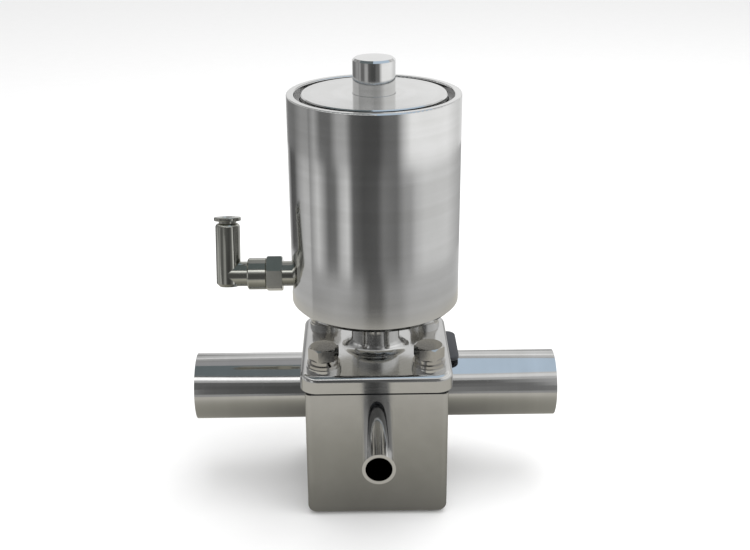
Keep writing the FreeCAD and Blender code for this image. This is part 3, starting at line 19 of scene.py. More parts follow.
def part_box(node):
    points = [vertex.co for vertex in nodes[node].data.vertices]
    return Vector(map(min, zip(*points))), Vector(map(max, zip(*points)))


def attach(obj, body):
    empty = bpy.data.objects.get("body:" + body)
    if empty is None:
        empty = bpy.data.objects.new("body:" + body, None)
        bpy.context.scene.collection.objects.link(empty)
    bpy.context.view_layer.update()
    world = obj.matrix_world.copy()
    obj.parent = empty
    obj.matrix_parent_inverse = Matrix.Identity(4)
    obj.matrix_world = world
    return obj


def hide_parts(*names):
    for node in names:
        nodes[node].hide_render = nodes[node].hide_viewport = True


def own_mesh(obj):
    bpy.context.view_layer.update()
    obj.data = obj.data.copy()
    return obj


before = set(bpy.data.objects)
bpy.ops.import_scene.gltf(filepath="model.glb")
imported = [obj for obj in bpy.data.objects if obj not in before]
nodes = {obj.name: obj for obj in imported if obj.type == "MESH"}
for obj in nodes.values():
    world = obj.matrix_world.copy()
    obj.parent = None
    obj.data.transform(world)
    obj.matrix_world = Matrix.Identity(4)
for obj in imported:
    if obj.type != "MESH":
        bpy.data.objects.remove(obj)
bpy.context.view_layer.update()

scene = bpy.context.scene
mm = 0.001

# %% [markdown]
# ## The camera
# A valve like this is shown from a little above, square to its front, close enough that the
# upright sides lean together downwards. The place of the camera sets that perspective. The lens
# only crops it, so a longer lens fills the frame without changing the shapes.

# %% Set the camera
CAMERA_PLACE = Vector((-0.007, -0.514, 0.329))
CAMERA_AIM = Vector((0.0, 0.0, 0.130))
CAMERA_ROLL = math.radians(-0.35)
LENS, LIFT = 54, -0.035
NEAREST = 10 * mm

camera = bpy.data.objects.new("camera", bpy.data.cameras.new("camera"))
scene.collection.objects.link(camera)
camera.location = CAMERA_PLACE
camera.rotation_mode = "QUATERNION"
view = (CAMERA_AIM - CAMERA_PLACE).to_track_quat("-Z", "Y")
camera.rotation_quaternion = view @ Matrix.Rotation(CAMERA_ROLL, 3, "Z").to_quaternion()
camera.data.lens = LENS
camera.data.shift_y = LIFT
camera.data.clip_start = NEAREST
scene.camera = camera
scene.view_settings.view_transform = "Standard"
print("camera to aim, mm:", round((CAMERA_AIM - CAMERA_PLACE).length / mm))

# %% [markdown]
# ## Helpers for meshes
# A bmesh is Blender's editable mesh. Each piece below starts from a simple shape in a bmesh, is
# shaped with operators, and is then written to a mesh whose object stays at the origin. Doubles
# are merged before the normals are made to point outwards.

# %% Write a bmesh to a piece
SHARP = math.radians(32)
DOUBLE_DISTANCE = 0.001 * mm


def piece_from(name, bm, finish):
    bmesh.ops.remove_doubles(bm, verts=bm.verts, dist=DOUBLE_DISTANCE)
    bmesh.ops.recalc_face_normals(bm, faces=bm.faces)
    mesh = bpy.data.meshes.new(name)
    bm.to_mesh(mesh)
    bm.free()
    mesh.shade_smooth()
    mesh.set_sharp_from_angle(angle=SHARP)
    mesh.materials.append(finish)
    piece = bpy.data.objects.new(name, mesh)
    scene.collection.objects.link(piece)
    print(name, "faces:", len(mesh.polygons))
    return piece


# %% [markdown]
# ## Helpers for finishes
# Metal has no colour of its own apart from the tint of its reflections, so a finish is mostly
# roughness, fine lines and small bumps. A finish here is a Principled shader fed by noise on
# Object coordinates. Numbers that are the same all over are set on the shader's own sockets.

# %% Start a finish
def new_finish(name, metallic, roughness, tint=(0.5, 0.5, 0.5)):
    finish = bpy.data.materials.new(name)
    finish.use_nodes = True
    tree = finish.node_tree
    shader = tree.nodes["Principled BSDF"]
    shader.inputs["Metallic"].default_value = metallic
    shader.inputs["Roughness"].default_value = roughness
    shader.inputs["Base Color"].default_value = (*tint, 1)
    finish.diffuse_color = (*tint, 1)
    return finish, tree, shader


def add(tree, kind, **settings):
    made = tree.nodes.new(kind)
    for name, value in settings.items():
        setattr(made, name, value)
    return made


def noise(tree, source, scale, detail=3.0, rough=0.5, dimensions="3D"):
    """A noise texture that reads a coordinate, or a single number when it is 1D."""
    made = add(tree, "ShaderNodeTexNoise", noise_dimensions=dimensions)
    made.inputs["Scale"].default_value = scale
    made.inputs["Detail"].default_value = detail
    made.inputs["Roughness"].default_value = rough
    tree.links.new(source, made.inputs["W" if dimensions == "1D" else "Vector"])
    return made.outputs["Fac"]


def spread(tree, source, low, high, start=0.3, end=0.7):
    """Map the middle of a noise to a range of values."""
    made = add(tree, "ShaderNodeMapRange")
    made.inputs["From Min"].default_value = start
    made.inputs["From Max"].default_value = end
    made.inputs["To Min"].default_value = low
    made.inputs["To Max"].default_value = high
    tree.links.new(source, made.inputs["Value"])
    return made.outputs["Result"]


def shade(tree, source, *tones):
    """Colours along a noise: (position, red, green, blue) for each tone."""
    ramp = add(tree, "ShaderNodeValToRGB")
    stops = ramp.color_ramp.elements
    stops.remove(stops[1])
    stops[0].position, stops[0].color = tones[0][0], (*tones[0][1:], 1)
    for position, *colour in tones[1:]:
        stops.new(position).color = (*colour, 1)
    tree.links.new(source, ramp.inputs["Fac"])
    return ramp.outputs["Color"]


def bump(tree, shader, height, strength, distance):
    made = add(tree, "ShaderNodeBump")
    made.inputs["Strength"].default_value = strength
    made.inputs["Distance"].default_value = distance
    tree.links.new(height, made.inputs["Height"])
    tree.links.new(made.outputs["Normal"], shader.inputs["Normal"])


def object_place(tree, centre=(0, 0, 0), turn=(0, 0, 0), stretch=(1, 1, 1)):
    """Object coordinates about a centre, turned and stretched."""
    coordinates = add(tree, "ShaderNodeTexCoord")
    mapping = add(tree, "ShaderNodeMapping", vector_type="TEXTURE")
    mapping.inputs["Location"].default_value = centre
    mapping.inputs["Rotation"].default_value = turn
    mapping.inputs["Scale"].default_value = stretch
    tree.links.new(coordinates.outputs["Object"], mapping.inputs["Vector"])
    return mapping.outputs["Vector"]


# %% [markdown]
# ## Turned metal
# A lathe tool leaves one fine spiral groove. Along a side wall the pattern changes only with
# height, and on a flat end only with radius, so one number does for both: radius plus height.
# A 1D noise on that number gives rings. The grooves also smear reflections across themselves,
# which is the shader's anisotropy, with a tangent that runs round the axis of the lathe.

# %% Turned finish
QUARTER_TURN = 0.25
WIDE_RINGS = 1 / 9
STAIN_SCALE = 38.0
STAIN_SHARE, RING_SHARE = 0.6, 0.4
GROOVE_BUMP = 0.25


def turned_finish(name, tones, roughness, rings, depth, anisotropy, centre=(0, 0, 0),
                  turn=(0, 0, 0), tangent="Z", play=0.05):
    finish, tree, shader = new_finish(name, 1.0, roughness, tones[0][1:])
    place = object_place(tree, centre, turn)
    split = add(tree, "ShaderNodeSeparateXYZ")
    tree.links.new(place, split.inputs["Vector"])
    flat = add(tree, "ShaderNodeCombineXYZ")
    tree.links.new(split.outputs["X"], flat.inputs["X"])
    tree.links.new(split.outputs["Y"], flat.inputs["Y"])
    radius = add(tree, "ShaderNodeVectorMath", operation="LENGTH")
    tree.links.new(flat.outputs["Vector"], radius.inputs[0])
    along = add(tree, "ShaderNodeMath", operation="ADD")
    tree.links.new(radius.outputs["Value"], along.inputs[0])
    tree.links.new(split.outputs["Z"], along.inputs[1])
    fine = noise(tree, along.outputs["Value"], rings, 4.0, 0.6, "1D")
    wide = noise(tree, along.outputs["Value"], rings * WIDE_RINGS, 2.0, 0.5, "1D")
    stains = noise(tree, place, STAIN_SCALE, 4.0, 0.55)
    mixed = add(tree, "ShaderNodeMath", operation="MULTIPLY_ADD")
    tree.links.new(stains, mixed.inputs[0])
    mixed.inputs[1].default_value = STAIN_SHARE
    share = add(tree, "ShaderNodeMath", operation="MULTIPLY")
    tree.links.new(wide, share.inputs[0])
    share.inputs[1].default_value = RING_SHARE
    tree.links.new(share.outputs["Value"], mixed.inputs[2])
    colour = shade(tree, mixed.outputs["Value"], *tones)
    tree.links.new(colour, shader.inputs["Base Color"])
    wear = spread(tree, fine, roughness - play, roughness + play)
    tree.links.new(wear, shader.inputs["Roughness"])
    bump(tree, shader, fine, GROOVE_BUMP, depth)
    if anisotropy:
        shader.inputs["Anisotropic"].default_value = anisotropy
        shader.inputs["Anisotropic Rotation"].default_value = QUARTER_TURN
        around = add(tree, "ShaderNodeTangent", direction_type="RADIAL", axis=tangent)
        tree.links.new(around.outputs["Tangent"], shader.inputs["Tangent"])
    return finish


ALONG_X = (0, math.radians(90), 0)
ALONG_Y = (math.radians(90), 0, 0)
STEEL = ((0.35, 0.595, 0.595, 0.585), (0.65, 0.655, 0.655, 0.65))

# %% [markdown]
# The cylinder is turned but not polished, so its lines are coarse enough to blur the room into
# upright bands. The cover and the rod are finer. The pipes are drawn tube with a mirror polish.

# %% The turned pieces
run_low, run_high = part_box("run_tube_left")
run_centre = (0, (run_low.y + run_high.y) / 2, (run_low.z + run_high.z) / 2)
branch_low, branch_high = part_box("branch_tube")
branch_centre = (0, 0, (branch_low.z + branch_high.z) / 2)

cylinder_finish = turned_finish("turned_cylinder", STEEL, 0.12, 1500, 2e-6, 0.50, play=0.012)
cover_finish = turned_finish("faced_cover", STEEL, 0.14, 1700, 2e-6, 0.55, play=0.02)
rod_finish = turned_finish("polished_rod", STEEL, 0.07, 1500, 1e-6, 0.0, play=0.015)
bonnet_finish = turned_finish("polished_bonnet", STEEL, 0.13, 900, 1e-6, 0.0, play=0.03)
run_finish = turned_finish(
    "polished_run_tube", STEEL, 0.09, 700, 1e-6, 0.0, run_centre, ALONG_X, play=0.025
)
branch_finish = turned_finish(
    "polished_branch_tube", STEEL, 0.09, 700, 1e-6, 0.0, branch_centre, ALONG_Y, play=0.025
)
print("run axis, mm:", [round(v / mm, 2) for v in run_centre])

# %% [markdown]
# ## Ground and milled steel
# The block is milled from bar and then ground with a belt, which leaves short parallel scratches.
# Noise that is stretched along the belt's travel looks like them. It varies the roughness, and a
# slight bump catches the light.

# %% Ground finish
BELT_STAIN_SCALE = 30.0
SCRATCH_BUMP = 0.2


def ground_finish(name, tones, roughness, grain, stretch, play=0.07, depth=3e-6):
    finish, tree, shader = new_finish(name, 1.0, roughness, tones[0][1:])
    lines = noise(tree, object_place(tree, stretch=stretch), grain, 5.0, 0.65)
    stains = noise(tree, object_place(tree), BELT_STAIN_SCALE, 4.0, 0.6)
    tree.links.new(shade(tree, stains, *tones), shader.inputs["Base Color"])
    wear = spread(tree, lines, roughness - play, roughness + play)
    tree.links.new(wear, shader.inputs["Roughness"])
    bump(tree, shader, lines, SCRATCH_BUMP, depth)
    return finish


ALONG_BLOCK = (14, 1, 1)
EVEN = (1, 1, 1)
block_finish = ground_finish("ground_block", STEEL, 0.22, 900, ALONG_BLOCK, 0.03, 1e-6)
print("block finish:", block_finish.name)

# %% [markdown]
# Bolts and washers are bright but handled often, so they are rougher and patchy. The fitting is
# brass under nickel, a little darker and warmer than steel. Spring steel is dark from its heat
# treatment.

# %% Small metal parts
BOLT = ((0.3, 0.40, 0.39, 0.37), (0.7, 0.60, 0.59, 0.57))
NICKEL = ((0.3, 0.36, 0.365, 0.33), (0.7, 0.50, 0.50, 0.46))
DARK_STEEL = ((0.3, 0.20, 0.20, 0.20), (0.7, 0.33, 0.32, 0.31))
ALUMINIUM = ((0.3, 0.66, 0.67, 0.68), (0.7, 0.78, 0.78, 0.79))
BRASS = ((0.3, 0.62, 0.46, 0.22), (0.7, 0.74, 0.58, 0.30))

UP_THE_BOLT = (1, 1, 3)
bolt_finish = ground_finish("bright_bolts", BOLT, 0.12, 1400, UP_THE_BOLT, 0.05, 4e-6)
nickel_finish = ground_finish("nickel_plate", NICKEL, 0.10, 1100, EVEN, 0.04, 3e-6)
ring_finish = ground_finish("dark_ring_steel", DARK_STEEL, 0.30, 1300, EVEN)
spring_finish = ground_finish("spring_wire", DARK_STEEL, 0.38, 1000, EVEN)
stem_finish = turned_finish("turned_stem", STEEL, 0.2, 1300, 3e-6, 0.0)
piston_finish = turned_finish("turned_piston", ALUMINIUM, 0.28, 1200, 4e-6, 0.0)
collet_finish = ground_finish("brass_collet", BRASS, 0.25, 1200, EVEN)
print("metal finishes:", len(bpy.data.materials))

# %% [markdown]
# ## Rubber and plastic
# Moulded rubber is dark but never flat black: the mould's blasted face gives it a fine grain, and
# talc and handling leave pale clouds. The bushes are a cream bearing plastic.

# %% Moulded finishes
CLOUD_SCALE = 120.0
CLOUD_PLAY = 0.08
GRAIN_BUMP = 0.35


def moulded_finish(name, tones, roughness, grain, depth):
    finish, tree, shader = new_finish(name, 0.0, roughness, tones[0][1:])
    place = object_place(tree)
    clouds = noise(tree, place, CLOUD_SCALE, 5.0, 0.6)
    tree.links.new(shade(tree, clouds, *tones), shader.inputs["Base Color"])
    wear = spread(tree, clouds, roughness - CLOUD_PLAY, roughness + CLOUD_PLAY)
    tree.links.new(wear, shader.inputs["Roughness"])
    bump(tree, shader, noise(tree, place, grain, 4.0, 0.6), GRAIN_BUMP, depth)
    return finish


RUBBER = ((0.3, 0.014, 0.016, 0.020), (0.7, 0.040, 0.044, 0.052))
SEAL = ((0.3, 0.012, 0.012, 0.012), (0.7, 0.030, 0.030, 0.030))
BUSH = ((0.3, 0.62, 0.57, 0.45), (0.7, 0.74, 0.69, 0.57))
rubber_finish = moulded_finish("moulded_rubber", RUBBER, 0.46, 2600, 2e-5)
seal_finish = moulded_finish("seal_rubber", SEAL, 0.40, 2600, 1e-5)
bush_finish = moulded_finish("bush_plastic", BUSH, 0.45, 1800, 1e-5)
print("finishes in all:", len(bpy.data.materials))

# %% [markdown]
# ## Finishes on the CAD nodes
# A CAD node whose shape is right keeps its mesh and only gets a better finish. The table below
# gives each slot of the record its finish, and some nodes a finish of their own.

# %% Dress the CAD nodes
SLOT_FINISH = {
    "block_steel": block_finish,
    "tube_steel": run_finish,
    "bonnet_steel": bonnet_finish,
    "housing_steel": cylinder_finish,
    "cover_steel": cover_finish,
    "rod_steel": rod_finish,
    "bolt_steel": bolt_finish,
    "ring_steel": ring_finish,
    "spring_steel": spring_finish,
    "piston_aluminium": piston_finish,
    "nickel_fitting": nickel_finish,
    "diaphragm_rubber": rubber_finish,
    "seal_rubber": seal_finish,
    "bush_plastic": bush_finish,
    "collet_brass": collet_finish,
}
NODE_FINISH = {"branch_tube": branch_finish, "stem": stem_finish}

for name, node in nodes.items():
    slot = node.material_slots[0].material.name.split(".")[0]
    node.material_slots[0].material = NODE_FINISH.get(name, SLOT_FINISH[slot])
    print(name, "->", node.material_slots[0].material.name)

# %% [markdown]
# ## The diaphragm
# The real diaphragm is one moulding: a square sheet that the four bolts squeeze, a dished middle
# that closes the valve, and a tongue at the side that shows which rubber it is. The sheet is a
# square that is cut round, bridged to the opening in its middle, and given thickness. A small
# bevel rounds its squeezed edge.

# %% Measure the diaphragm
rubber_low, rubber_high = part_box("diaphragm")
block_low, block_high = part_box("body_block")
plate_low, plate_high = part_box("bonnet")
SHEET_INSET = 1.0 * mm
sheet_half = (block_high.x - block_low.x) / 2 - SHEET_INSET
sheet_base = block_high.z
sheet_top = plate_low.z
print("sheet, mm:", round(2 * sheet_half / mm, 1), "thick", round((sheet_top - sheet_base) / mm, 2))


# %% [markdown]
# The sheet's own helpers come first: a square with its corners bevelled round, a thickness for
# flat faces, and a rule that finds the edges round a rim so that they can be softened.

# %% Make the sheet
CORNER_STEPS = 12
SAME_LEVEL = 1e-7
RIM_ANGLE = math.radians(57)
SHEET_SOFT = 0.35 * mm


def rounded_square(bm, half_side, corner, z):
    """A square outline of edges with rounded corners, flat at a height."""
    made = bmesh.ops.create_grid(
        bm, x_segments=1, y_segments=1, size=half_side, matrix=Matrix.Translation((0, 0, z))
    )
    bmesh.ops.bevel(
        bm, geom=list(made["verts"]), offset=corner, segments=CORNER_STEPS, profile=0.5,
        affect="VERTICES", material=-1,
    )
    return [f for f in bm.faces if abs(f.calc_center_median().z - z) < SAME_LEVEL]


def thick_plate(bm, faces, height):
    """Give flat faces a thickness upwards."""
    grown = bmesh.ops.extrude_face_region(bm, geom=faces)
    risen = [v for v in grown["geom"] if isinstance(v, bmesh.types.BMVert)]
    bmesh.ops.translate(bm, verts=risen, vec=(0, 0, height))


def rim_edges(bm, height):
    """Edges that lie at a height and part a flat face from a wall."""
    found = []
    for edge in bm.edges:
        level = all(abs(v.co.z - height) < SAME_LEVEL for v in edge.verts)
        if level and len(edge.link_faces) == 2 and edge.calc_face_angle(0) > RIM_ANGLE:
            found.append(edge)
    return found


SHEET_CORNER = 6.0 * mm
OPENING_RADIUS = 18.0 * mm
sheet = bmesh.new()
flat_faces = rounded_square(sheet, sheet_half, SHEET_CORNER, sheet_base)
outer_loop = list({edge for face in flat_faces for edge in face.edges})
bmesh.ops.delete(sheet, geom=flat_faces, context="FACES_ONLY")
opening = bmesh.ops.create_circle(
    sheet, cap_ends=False, segments=len(outer_loop), radius=OPENING_RADIUS,
    matrix=Matrix.Translation((0, 0, sheet_base)) @ Matrix.Rotation(math.radians(45), 4, "Z"),
)
inner_loop = list({edge for vert in opening["verts"] for edge in vert.link_edges})
joined = bmesh.ops.bridge_loops(sheet, edges=outer_loop + inner_loop)
thick_plate(sheet, joined["faces"], sheet_top - sheet_base)
bmesh.ops.recalc_face_normals(sheet, faces=sheet.faces)
bmesh.ops.bevel(
    sheet, geom=rim_edges(sheet, sheet_base) + rim_edges(sheet, sheet_top), offset=SHEET_SOFT,
    segments=3, profile=0.5, affect="EDGES", material=-1,
)
gasket_sheet = piece_from("gasket_sheet", sheet, rubber_finish)

# %% [markdown]
# The tongue is moulded with the sheet. Outside the plate it thickens to a lip with rounded
# corners, which is what a fitter sees.

# %% Make the tongue and its lip
TAB_BACK, TAB_HALF = 14.0 * mm, 16.0 * mm
TAB_LIFT, TAB_GAP, TAB_OVERLAP = 0.8 * mm, 0.1 * mm, 1.0 * mm
LIP_CORNER, LIP_SOFT, TONGUE_SOFT = 4.5 * mm, 0.5 * mm, 0.15 * mm
PLATE_GAP = 0.02 * mm
plate_side = plate_high.x + TAB_GAP
tab_base = sheet_base + TAB_LIFT


def box_between(bm, low, high):
    size = Vector(high) - Vector(low)
    middle = (Vector(high) + Vector(low)) / 2
    matrix = Matrix.Translation(middle) @ Matrix.Diagonal((*size, 1))
    bmesh.ops.create_cube(bm, size=1, matrix=matrix)


tongue = bmesh.new()
box_between(
    tongue, (sheet_half - TAB_OVERLAP, TAB_BACK - TAB_HALF, tab_base),
    (plate_side, TAB_BACK + TAB_HALF, sheet_top - PLATE_GAP),
)
bmesh.ops.bevel(
    tongue, geom=list(tongue.edges), offset=TONGUE_SOFT, segments=2, profile=0.5, affect="EDGES",
    material=-1,
)
tongue_piece = piece_from("gasket_tongue", tongue, rubber_finish)

lip = bmesh.new()
box_between(
    lip, (plate_side, TAB_BACK - TAB_HALF, tab_base),
    (rubber_high.x, TAB_BACK + TAB_HALF, rubber_high.z),
)
outer_posts = [
    edge for edge in lip.edges
    if all(v.co.x > rubber_high.x - DOUBLE_DISTANCE for v in edge.verts)
    and abs(edge.verts[0].co.z - edge.verts[1].co.z) > (rubber_high.z - tab_base) / 2
]
bmesh.ops.bevel(
    lip, geom=outer_posts, offset=LIP_CORNER, segments=10, profile=0.5, affect="EDGES", material=-1
)
bmesh.ops.bevel(
    lip, geom=rim_edges(lip, rubber_high.z) + rim_edges(lip, tab_base), offset=LIP_SOFT,
    segments=4, profile=0.5, affect="EDGES", material=-1,
)
gasket_lip = piece_from("gasket_lip", lip, rubber_finish)

# %% [markdown]
# The dished middle hangs in the block's seat. It is a disc whose outline is spun about the axis:
# the lower skin from the middle out to the rim, then the upper skin back to the middle.

# %% Make the membrane
def spin_round(bm, outline, steps=96):
    """Spin an open outline of (radius, height) points in mm about Z into a closed skin."""
    spots = [bm.verts.new((radius * mm, 0, height * mm)) for radius, height in outline]
    edges = [bm.edges.new(pair) for pair in zip(spots, spots[1:])]
    bmesh.ops.spin(
        bm, geom=spots + edges, cent=(0, 0, 0), axis=(0, 0, 1), dvec=(0, 0, 0),
        angle=2 * math.pi, steps=steps, use_merge=True, use_duplicate=False,
    )


LOWER_SKIN = [(0, 64.6), (6, 64.7), (12, 65.6), (16, 67.0), (18.2, 68.05)]
UPPER_SKIN = [(18.2, 69.95), (16, 69.4), (12, 68.1), (6, 67.2), (0, 67.1)]
membrane = bmesh.new()
spin_round(membrane, LOWER_SKIN + UPPER_SKIN)
membrane_piece = piece_from("gasket_membrane", membrane, rubber_finish)

for soft in (gasket_sheet, tongue_piece, gasket_lip, membrane_piece):
    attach(soft, "valve_body")
    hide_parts("diaphragm")

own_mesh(membrane_piece)

# %% [markdown]
# ## The springs
# Each spring is a wire on a helix. A curve with a round bevel is the usual way to make one, and it
# needs far fewer faces than a CAD mesh of the same wire. The curve becomes a mesh at once, so that
# the piece is plain geometry.

# %% Wind the springs
POINTS_PER_TURN = 24
WIRE_ROUNDNESS = 4


def wind_spring(name, node, wire_mm, turns):
    low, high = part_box(node)
    radius = (high.x - low.x) / 2 - wire_mm * mm / 2
    start, end = low.z + wire_mm * mm / 2, high.z - wire_mm * mm / 2
    curve = bpy.data.curves.new(name, "CURVE")
    curve.dimensions = "3D"
    curve.bevel_depth = wire_mm * mm / 2
    curve.bevel_resolution = WIRE_ROUNDNESS
    curve.use_fill_caps = True
    path = curve.splines.new("POLY")
    count = int(turns * POINTS_PER_TURN)
    path.points.add(count)
    for i, point in enumerate(path.points):
        angle = 2 * math.pi * i / POINTS_PER_TURN
        height = start + (end - start) * i / count
        point.co = (radius * math.cos(angle), radius * math.sin(angle), height, 1)
    holder = bpy.data.objects.new(name + "_path", curve)
    scene.collection.objects.link(holder)
    wire = bmesh.new()
    wire.from_mesh(holder.to_mesh())
    bpy.data.objects.remove(holder)
    coil = piece_from(name, wire, spring_finish)
    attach(coil, "valve_body")
    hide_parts(node)
    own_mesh(coil)
    return coil


outer_coil = wind_spring("outer_coil", "outer_spring", 5.5, 6)
inner_coil = wind_spring("inner_coil", "inner_spring", 4.0, 8)

# %% [markdown]
# ## The studio
# Bare metal shows the room rather than itself. On an upright cylinder each direction round the
# room becomes one upright band, so a studio hangs pale and dark cards round the subject to draw
# them. Here the cards are striped rings, one above the other. Only reflections see them: the
# camera and the shadows don't. A dark stripe in front makes the dark middle of the cylinder, and a
# bright wall at the right makes its broad highlight.

# %% Emission for the cards
TURN = 360
FRONT = 0.25


def glow(name, tone):
    """Emission of one plain tone: (red, green, blue), where 1 is paper white."""
    card = bpy.data.materials.new(name)
    card.use_nodes = True
    tree = card.node_tree
    tree.nodes.clear()
    light = add(tree, "ShaderNodeEmission")
    light.inputs["Color"].default_value = (*tone, 1)
    out = add(tree, "ShaderNodeOutputMaterial")
    tree.links.new(light.outputs["Emission"], out.inputs["Surface"])
    card.cycles.emission_sampling = "NONE"
    return card, tree, light


def striped_glow(name, stripes):
    """Emission in upright stripes: (degrees to the right of the camera, grey) for each stop."""
    card, tree, light = glow(name, (1, 1, 1))
    angle = add(tree, "ShaderNodeTexGradient", gradient_type="RADIAL")
    tree.links.new(object_place(tree), angle.inputs["Vector"])
    stops = sorted(((degrees / TURN + FRONT) % 1.0, grey) for degrees, grey in stripes)
    tones = [(position, grey, grey, grey) for position, grey in stops]
    tree.links.new(shade(tree, angle.outputs["Fac"], *tones), light.inputs["Color"])
    return card


def hang(card):
    """A card that only reflections see."""
    card.visible_camera = card.visible_shadow = card.visible_diffuse = False


# %% [markdown]
# A ring is a post spun round the valve. Each has its name, its lower and upper edge, and its
# stripes. The middle ring is the one that the cylinder shows over most of its height, the high one
# shows in the rod, and the ones above it in the shoulders of the pipes.

# %% Hang the rings
RING_RADIUS = 0.27
RING_STEPS = 120


def hang_ring(name, low, high, finish):
    wall = bmesh.new()
    ends = [wall.verts.new((RING_RADIUS, 0, low)), wall.verts.new((RING_RADIUS, 0, high))]
    post = wall.edges.new(ends)
    bmesh.ops.spin(
        wall, geom=[*ends, post], cent=(0, 0, 0), axis=(0, 0, 1), dvec=(0, 0, 0),
        angle=2 * math.pi, steps=RING_STEPS, use_merge=True, use_duplicate=False,
    )
    hang(piece_from(name, wall, finish))


RINGS = [
    ("low_ring", 0.0, 0.035, [
        (-178, 0.95), (-150, 0.55), (-110, 0.58), (-76, 0.42), (-52, 0.52), (-30, 0.42),
        (-18, 0.36), (-8, 0.14), (6, 0.14), (16, 0.36), (32, 0.40), (44, 0.55), (90, 0.60),
        (150, 0.60), (178, 0.90),
    ]),
    ("middle_ring", 0.035, 0.112, [
        (-176, 0.75), (-160, 0.80), (-148, 0.40), (-138, 0.10), (-124, 0.12), (-112, 0.45),
        (-100, 0.65), (-88, 0.40), (-76, 0.80), (-68, 0.50), (-60, 0.18), (-50, 0.20),
        (-42, 0.65), (-34, 0.85), (-27, 0.16), (-14, 0.10), (2, 0.12), (10, 0.25), (26, 0.20),
        (36, 0.40), (44, 0.42), (52, 0.65), (64, 0.80), (104, 0.82), (128, 0.60), (150, 0.42),
        (178, 0.60),
    ]),
    ("high_ring", 0.112, 0.170, [
        (-176, 0.80), (-144, 0.22), (-122, 0.22), (-104, 0.40), (-90, 0.26), (-80, 0.50),
        (-70, 0.18), (-56, 0.18), (-46, 0.50), (-36, 0.50), (-28, 0.14), (-12, 0.09),
        (4, 0.09), (12, 0.18), (26, 0.20), (34, 0.70), (44, 1.15), (100, 1.15), (130, 0.85),
        (176, 0.80),
    ]),
    ("dim_ring", 0.170, 0.240, [
        (-178, 0.85), (-140, 0.50), (-100, 0.34), (-60, 0.26), (-30, 0.16), (0, 0.10),
        (20, 0.16), (40, 0.75), (100, 0.95), (150, 0.80), (178, 0.85),
    ]),
    ("soft_ring", 0.240, 0.300, [
        (-178, 1.00), (-130, 0.80), (-60, 0.55), (-20, 0.55), (0, 0.50), (30, 0.60),
        (60, 1.10), (120, 1.15), (178, 1.00),
    ]),
    ("lamp_ring", 0.300, 0.400, [
        (-178, 0.45), (-130, 0.45), (-80, 0.90), (-40, 1.60), (-6, 1.60), (4, 0.90),
        (60, 1.00), (120, 0.90), (178, 0.45),
    ]),
    ("top_ring", 0.400, 0.460, [
        (-178, 0.35), (-60, 0.18), (-6, 0.18), (6, 0.70), (90, 0.80), (178, 0.40),
    ]),
]
for ring_name, ring_low, ring_high, ring_stripes in RINGS:
    hang_ring(ring_name, ring_low, ring_high, striped_glow(ring_name + "_glow", ring_stripes))

# %% [markdown]
# Three ceiling cards close the tent. The tops of the pipes show them: dim ones on the left and a
# sky pale one on the right.

# %% Hang the ceiling
CEILING = 0.46
HALL = 0.6
SIDE_SPLIT, BACK_SPLIT = -0.01, 0.08


def hang_sheet(name, low, high, height, tone):
    """A level card between two corners."""
    sheet = bmesh.new()
    middle = ((low[0] + high[0]) / 2, (low[1] + high[1]) / 2, height)
    size = (high[0] - low[0], high[1] - low[1], 1)
    bmesh.ops.create_grid(
        sheet, x_segments=1, y_segments=1, size=0.5,
        matrix=Matrix.Translation(middle) @ Matrix.Diagonal((*size, 1)),
    )
    hang(piece_from(name, sheet, glow(name + "_glow", tone)[0]))


hang_sheet(
    "left_ceiling", (-HALL, -HALL), (SIDE_SPLIT, BACK_SPLIT), CEILING, (0.17, 0.20, 0.21)
)
hang_sheet(
    "left_back_ceiling", (-HALL, BACK_SPLIT), (SIDE_SPLIT, HALL), CEILING, (0.40, 0.40, 0.41)
)
hang_sheet("right_ceiling", (SIDE_SPLIT, -HALL), (HALL, HALL), CEILING, (0.62, 0.75, 0.90))
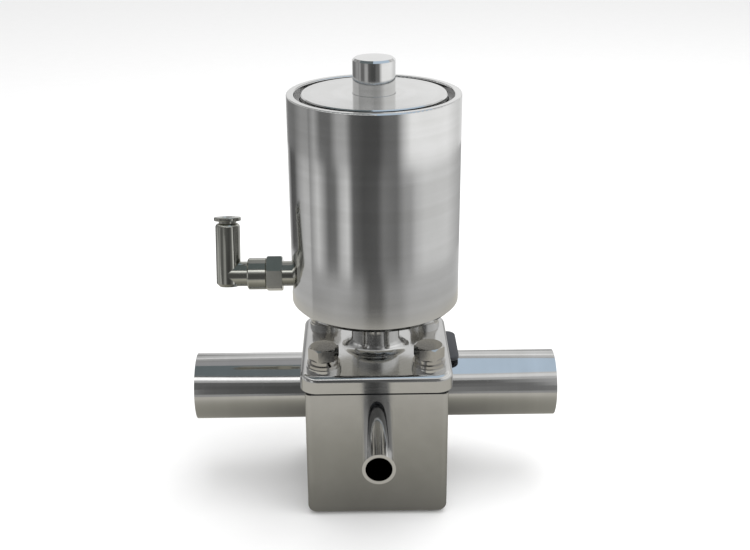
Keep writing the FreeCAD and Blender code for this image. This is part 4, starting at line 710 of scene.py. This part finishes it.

# %% [markdown]
# The table shows in the lower half of every round piece. It is pale and a little warm, and darker
# right under the valve, which is a painted shadow of the valve on the table in the card's glow.

# %% Lay the table cards
TABLE_RADIUS, TABLE_LIFT = 0.45, 0.3 * mm
ROUND_STEPS = 96
table_glow, table_tree, table_light = glow("table_glow", (0.6, 0.58, 0.53))
table_shadow_fade = add(table_tree, "ShaderNodeTexGradient", gradient_type="SPHERICAL")
table_place = object_place(table_tree, stretch=(TABLE_RADIUS, TABLE_RADIUS, TABLE_RADIUS))
table_tree.links.new(table_place, table_shadow_fade.inputs["Vector"])
# The darker stops towards the middle are a painted shadow of the valve on the table.
table_tone_and_painted_shadow = shade(
    table_tree, table_shadow_fade.outputs["Fac"],
    (0.30, 0.62, 0.60, 0.55), (0.62, 0.58, 0.56, 0.51), (0.78, 0.34, 0.33, 0.29),
    (0.92, 0.16, 0.155, 0.14),
)
table_tree.links.new(table_tone_and_painted_shadow, table_light.inputs["Color"])
table_card = bmesh.new()
bmesh.ops.create_circle(
    table_card, cap_ends=True, segments=ROUND_STEPS, radius=TABLE_RADIUS,
    matrix=Matrix.Translation((0, 0, TABLE_LIFT)),
)
hang(piece_from("table_card", table_card, table_glow))

# %% [markdown]
# ## Floor and lamps
# The floor is a plain pale sweep. A large soft lamp above and another at the right light it, and
# the rubber, and give the soft shadow that ties the valve to the floor.

# %% Floor and lamps
FLOOR_RADIUS = 12
LAMP_AIM = Vector((0, 0, 0.1))
floor_mesh = bmesh.new()
bmesh.ops.create_circle(floor_mesh, cap_ends=True, segments=ROUND_STEPS, radius=FLOOR_RADIUS)
paper, paper_tree, paper_shader = new_finish("paper_floor", 0.0, 0.9, (0.86, 0.86, 0.86))
fibre = noise(paper_tree, object_place(paper_tree), 60.0, 3.0)
paper_tone = shade(paper_tree, fibre, (0.3, 0.855, 0.855, 0.855), (0.7, 0.865, 0.865, 0.865))
paper_tree.links.new(paper_tone, paper_shader.inputs["Base Color"])
floor = piece_from("floor", floor_mesh, paper)

world = bpy.data.worlds.new("studio_air")
scene.world = world
world.use_nodes = True
world.node_tree.nodes["Background"].inputs["Color"].default_value = (1, 1, 1, 1)
world.node_tree.nodes["Background"].inputs["Strength"].default_value = 1.0
world.cycles_visibility.glossy = False


def soft_lamp(name, place, size, watts):
    lamp = bpy.data.lights.new(name, "AREA")
    lamp.shape = "RECTANGLE"
    lamp.size, lamp.size_y = size
    lamp.energy = watts
    holder = bpy.data.objects.new(name, lamp)
    scene.collection.objects.link(holder)
    holder.visible_glossy = False
    holder.location = place
    holder.rotation_mode = "QUATERNION"
    holder.rotation_quaternion = (LAMP_AIM - Vector(place)).to_track_quat("-Z", "Y")


soft_lamp("top_lamp", (0.15, 0.1, 1.2), (1.0, 1.0), 7)
soft_lamp("right_lamp", (1.1, -0.5, 0.8), (0.9, 0.9), 6)
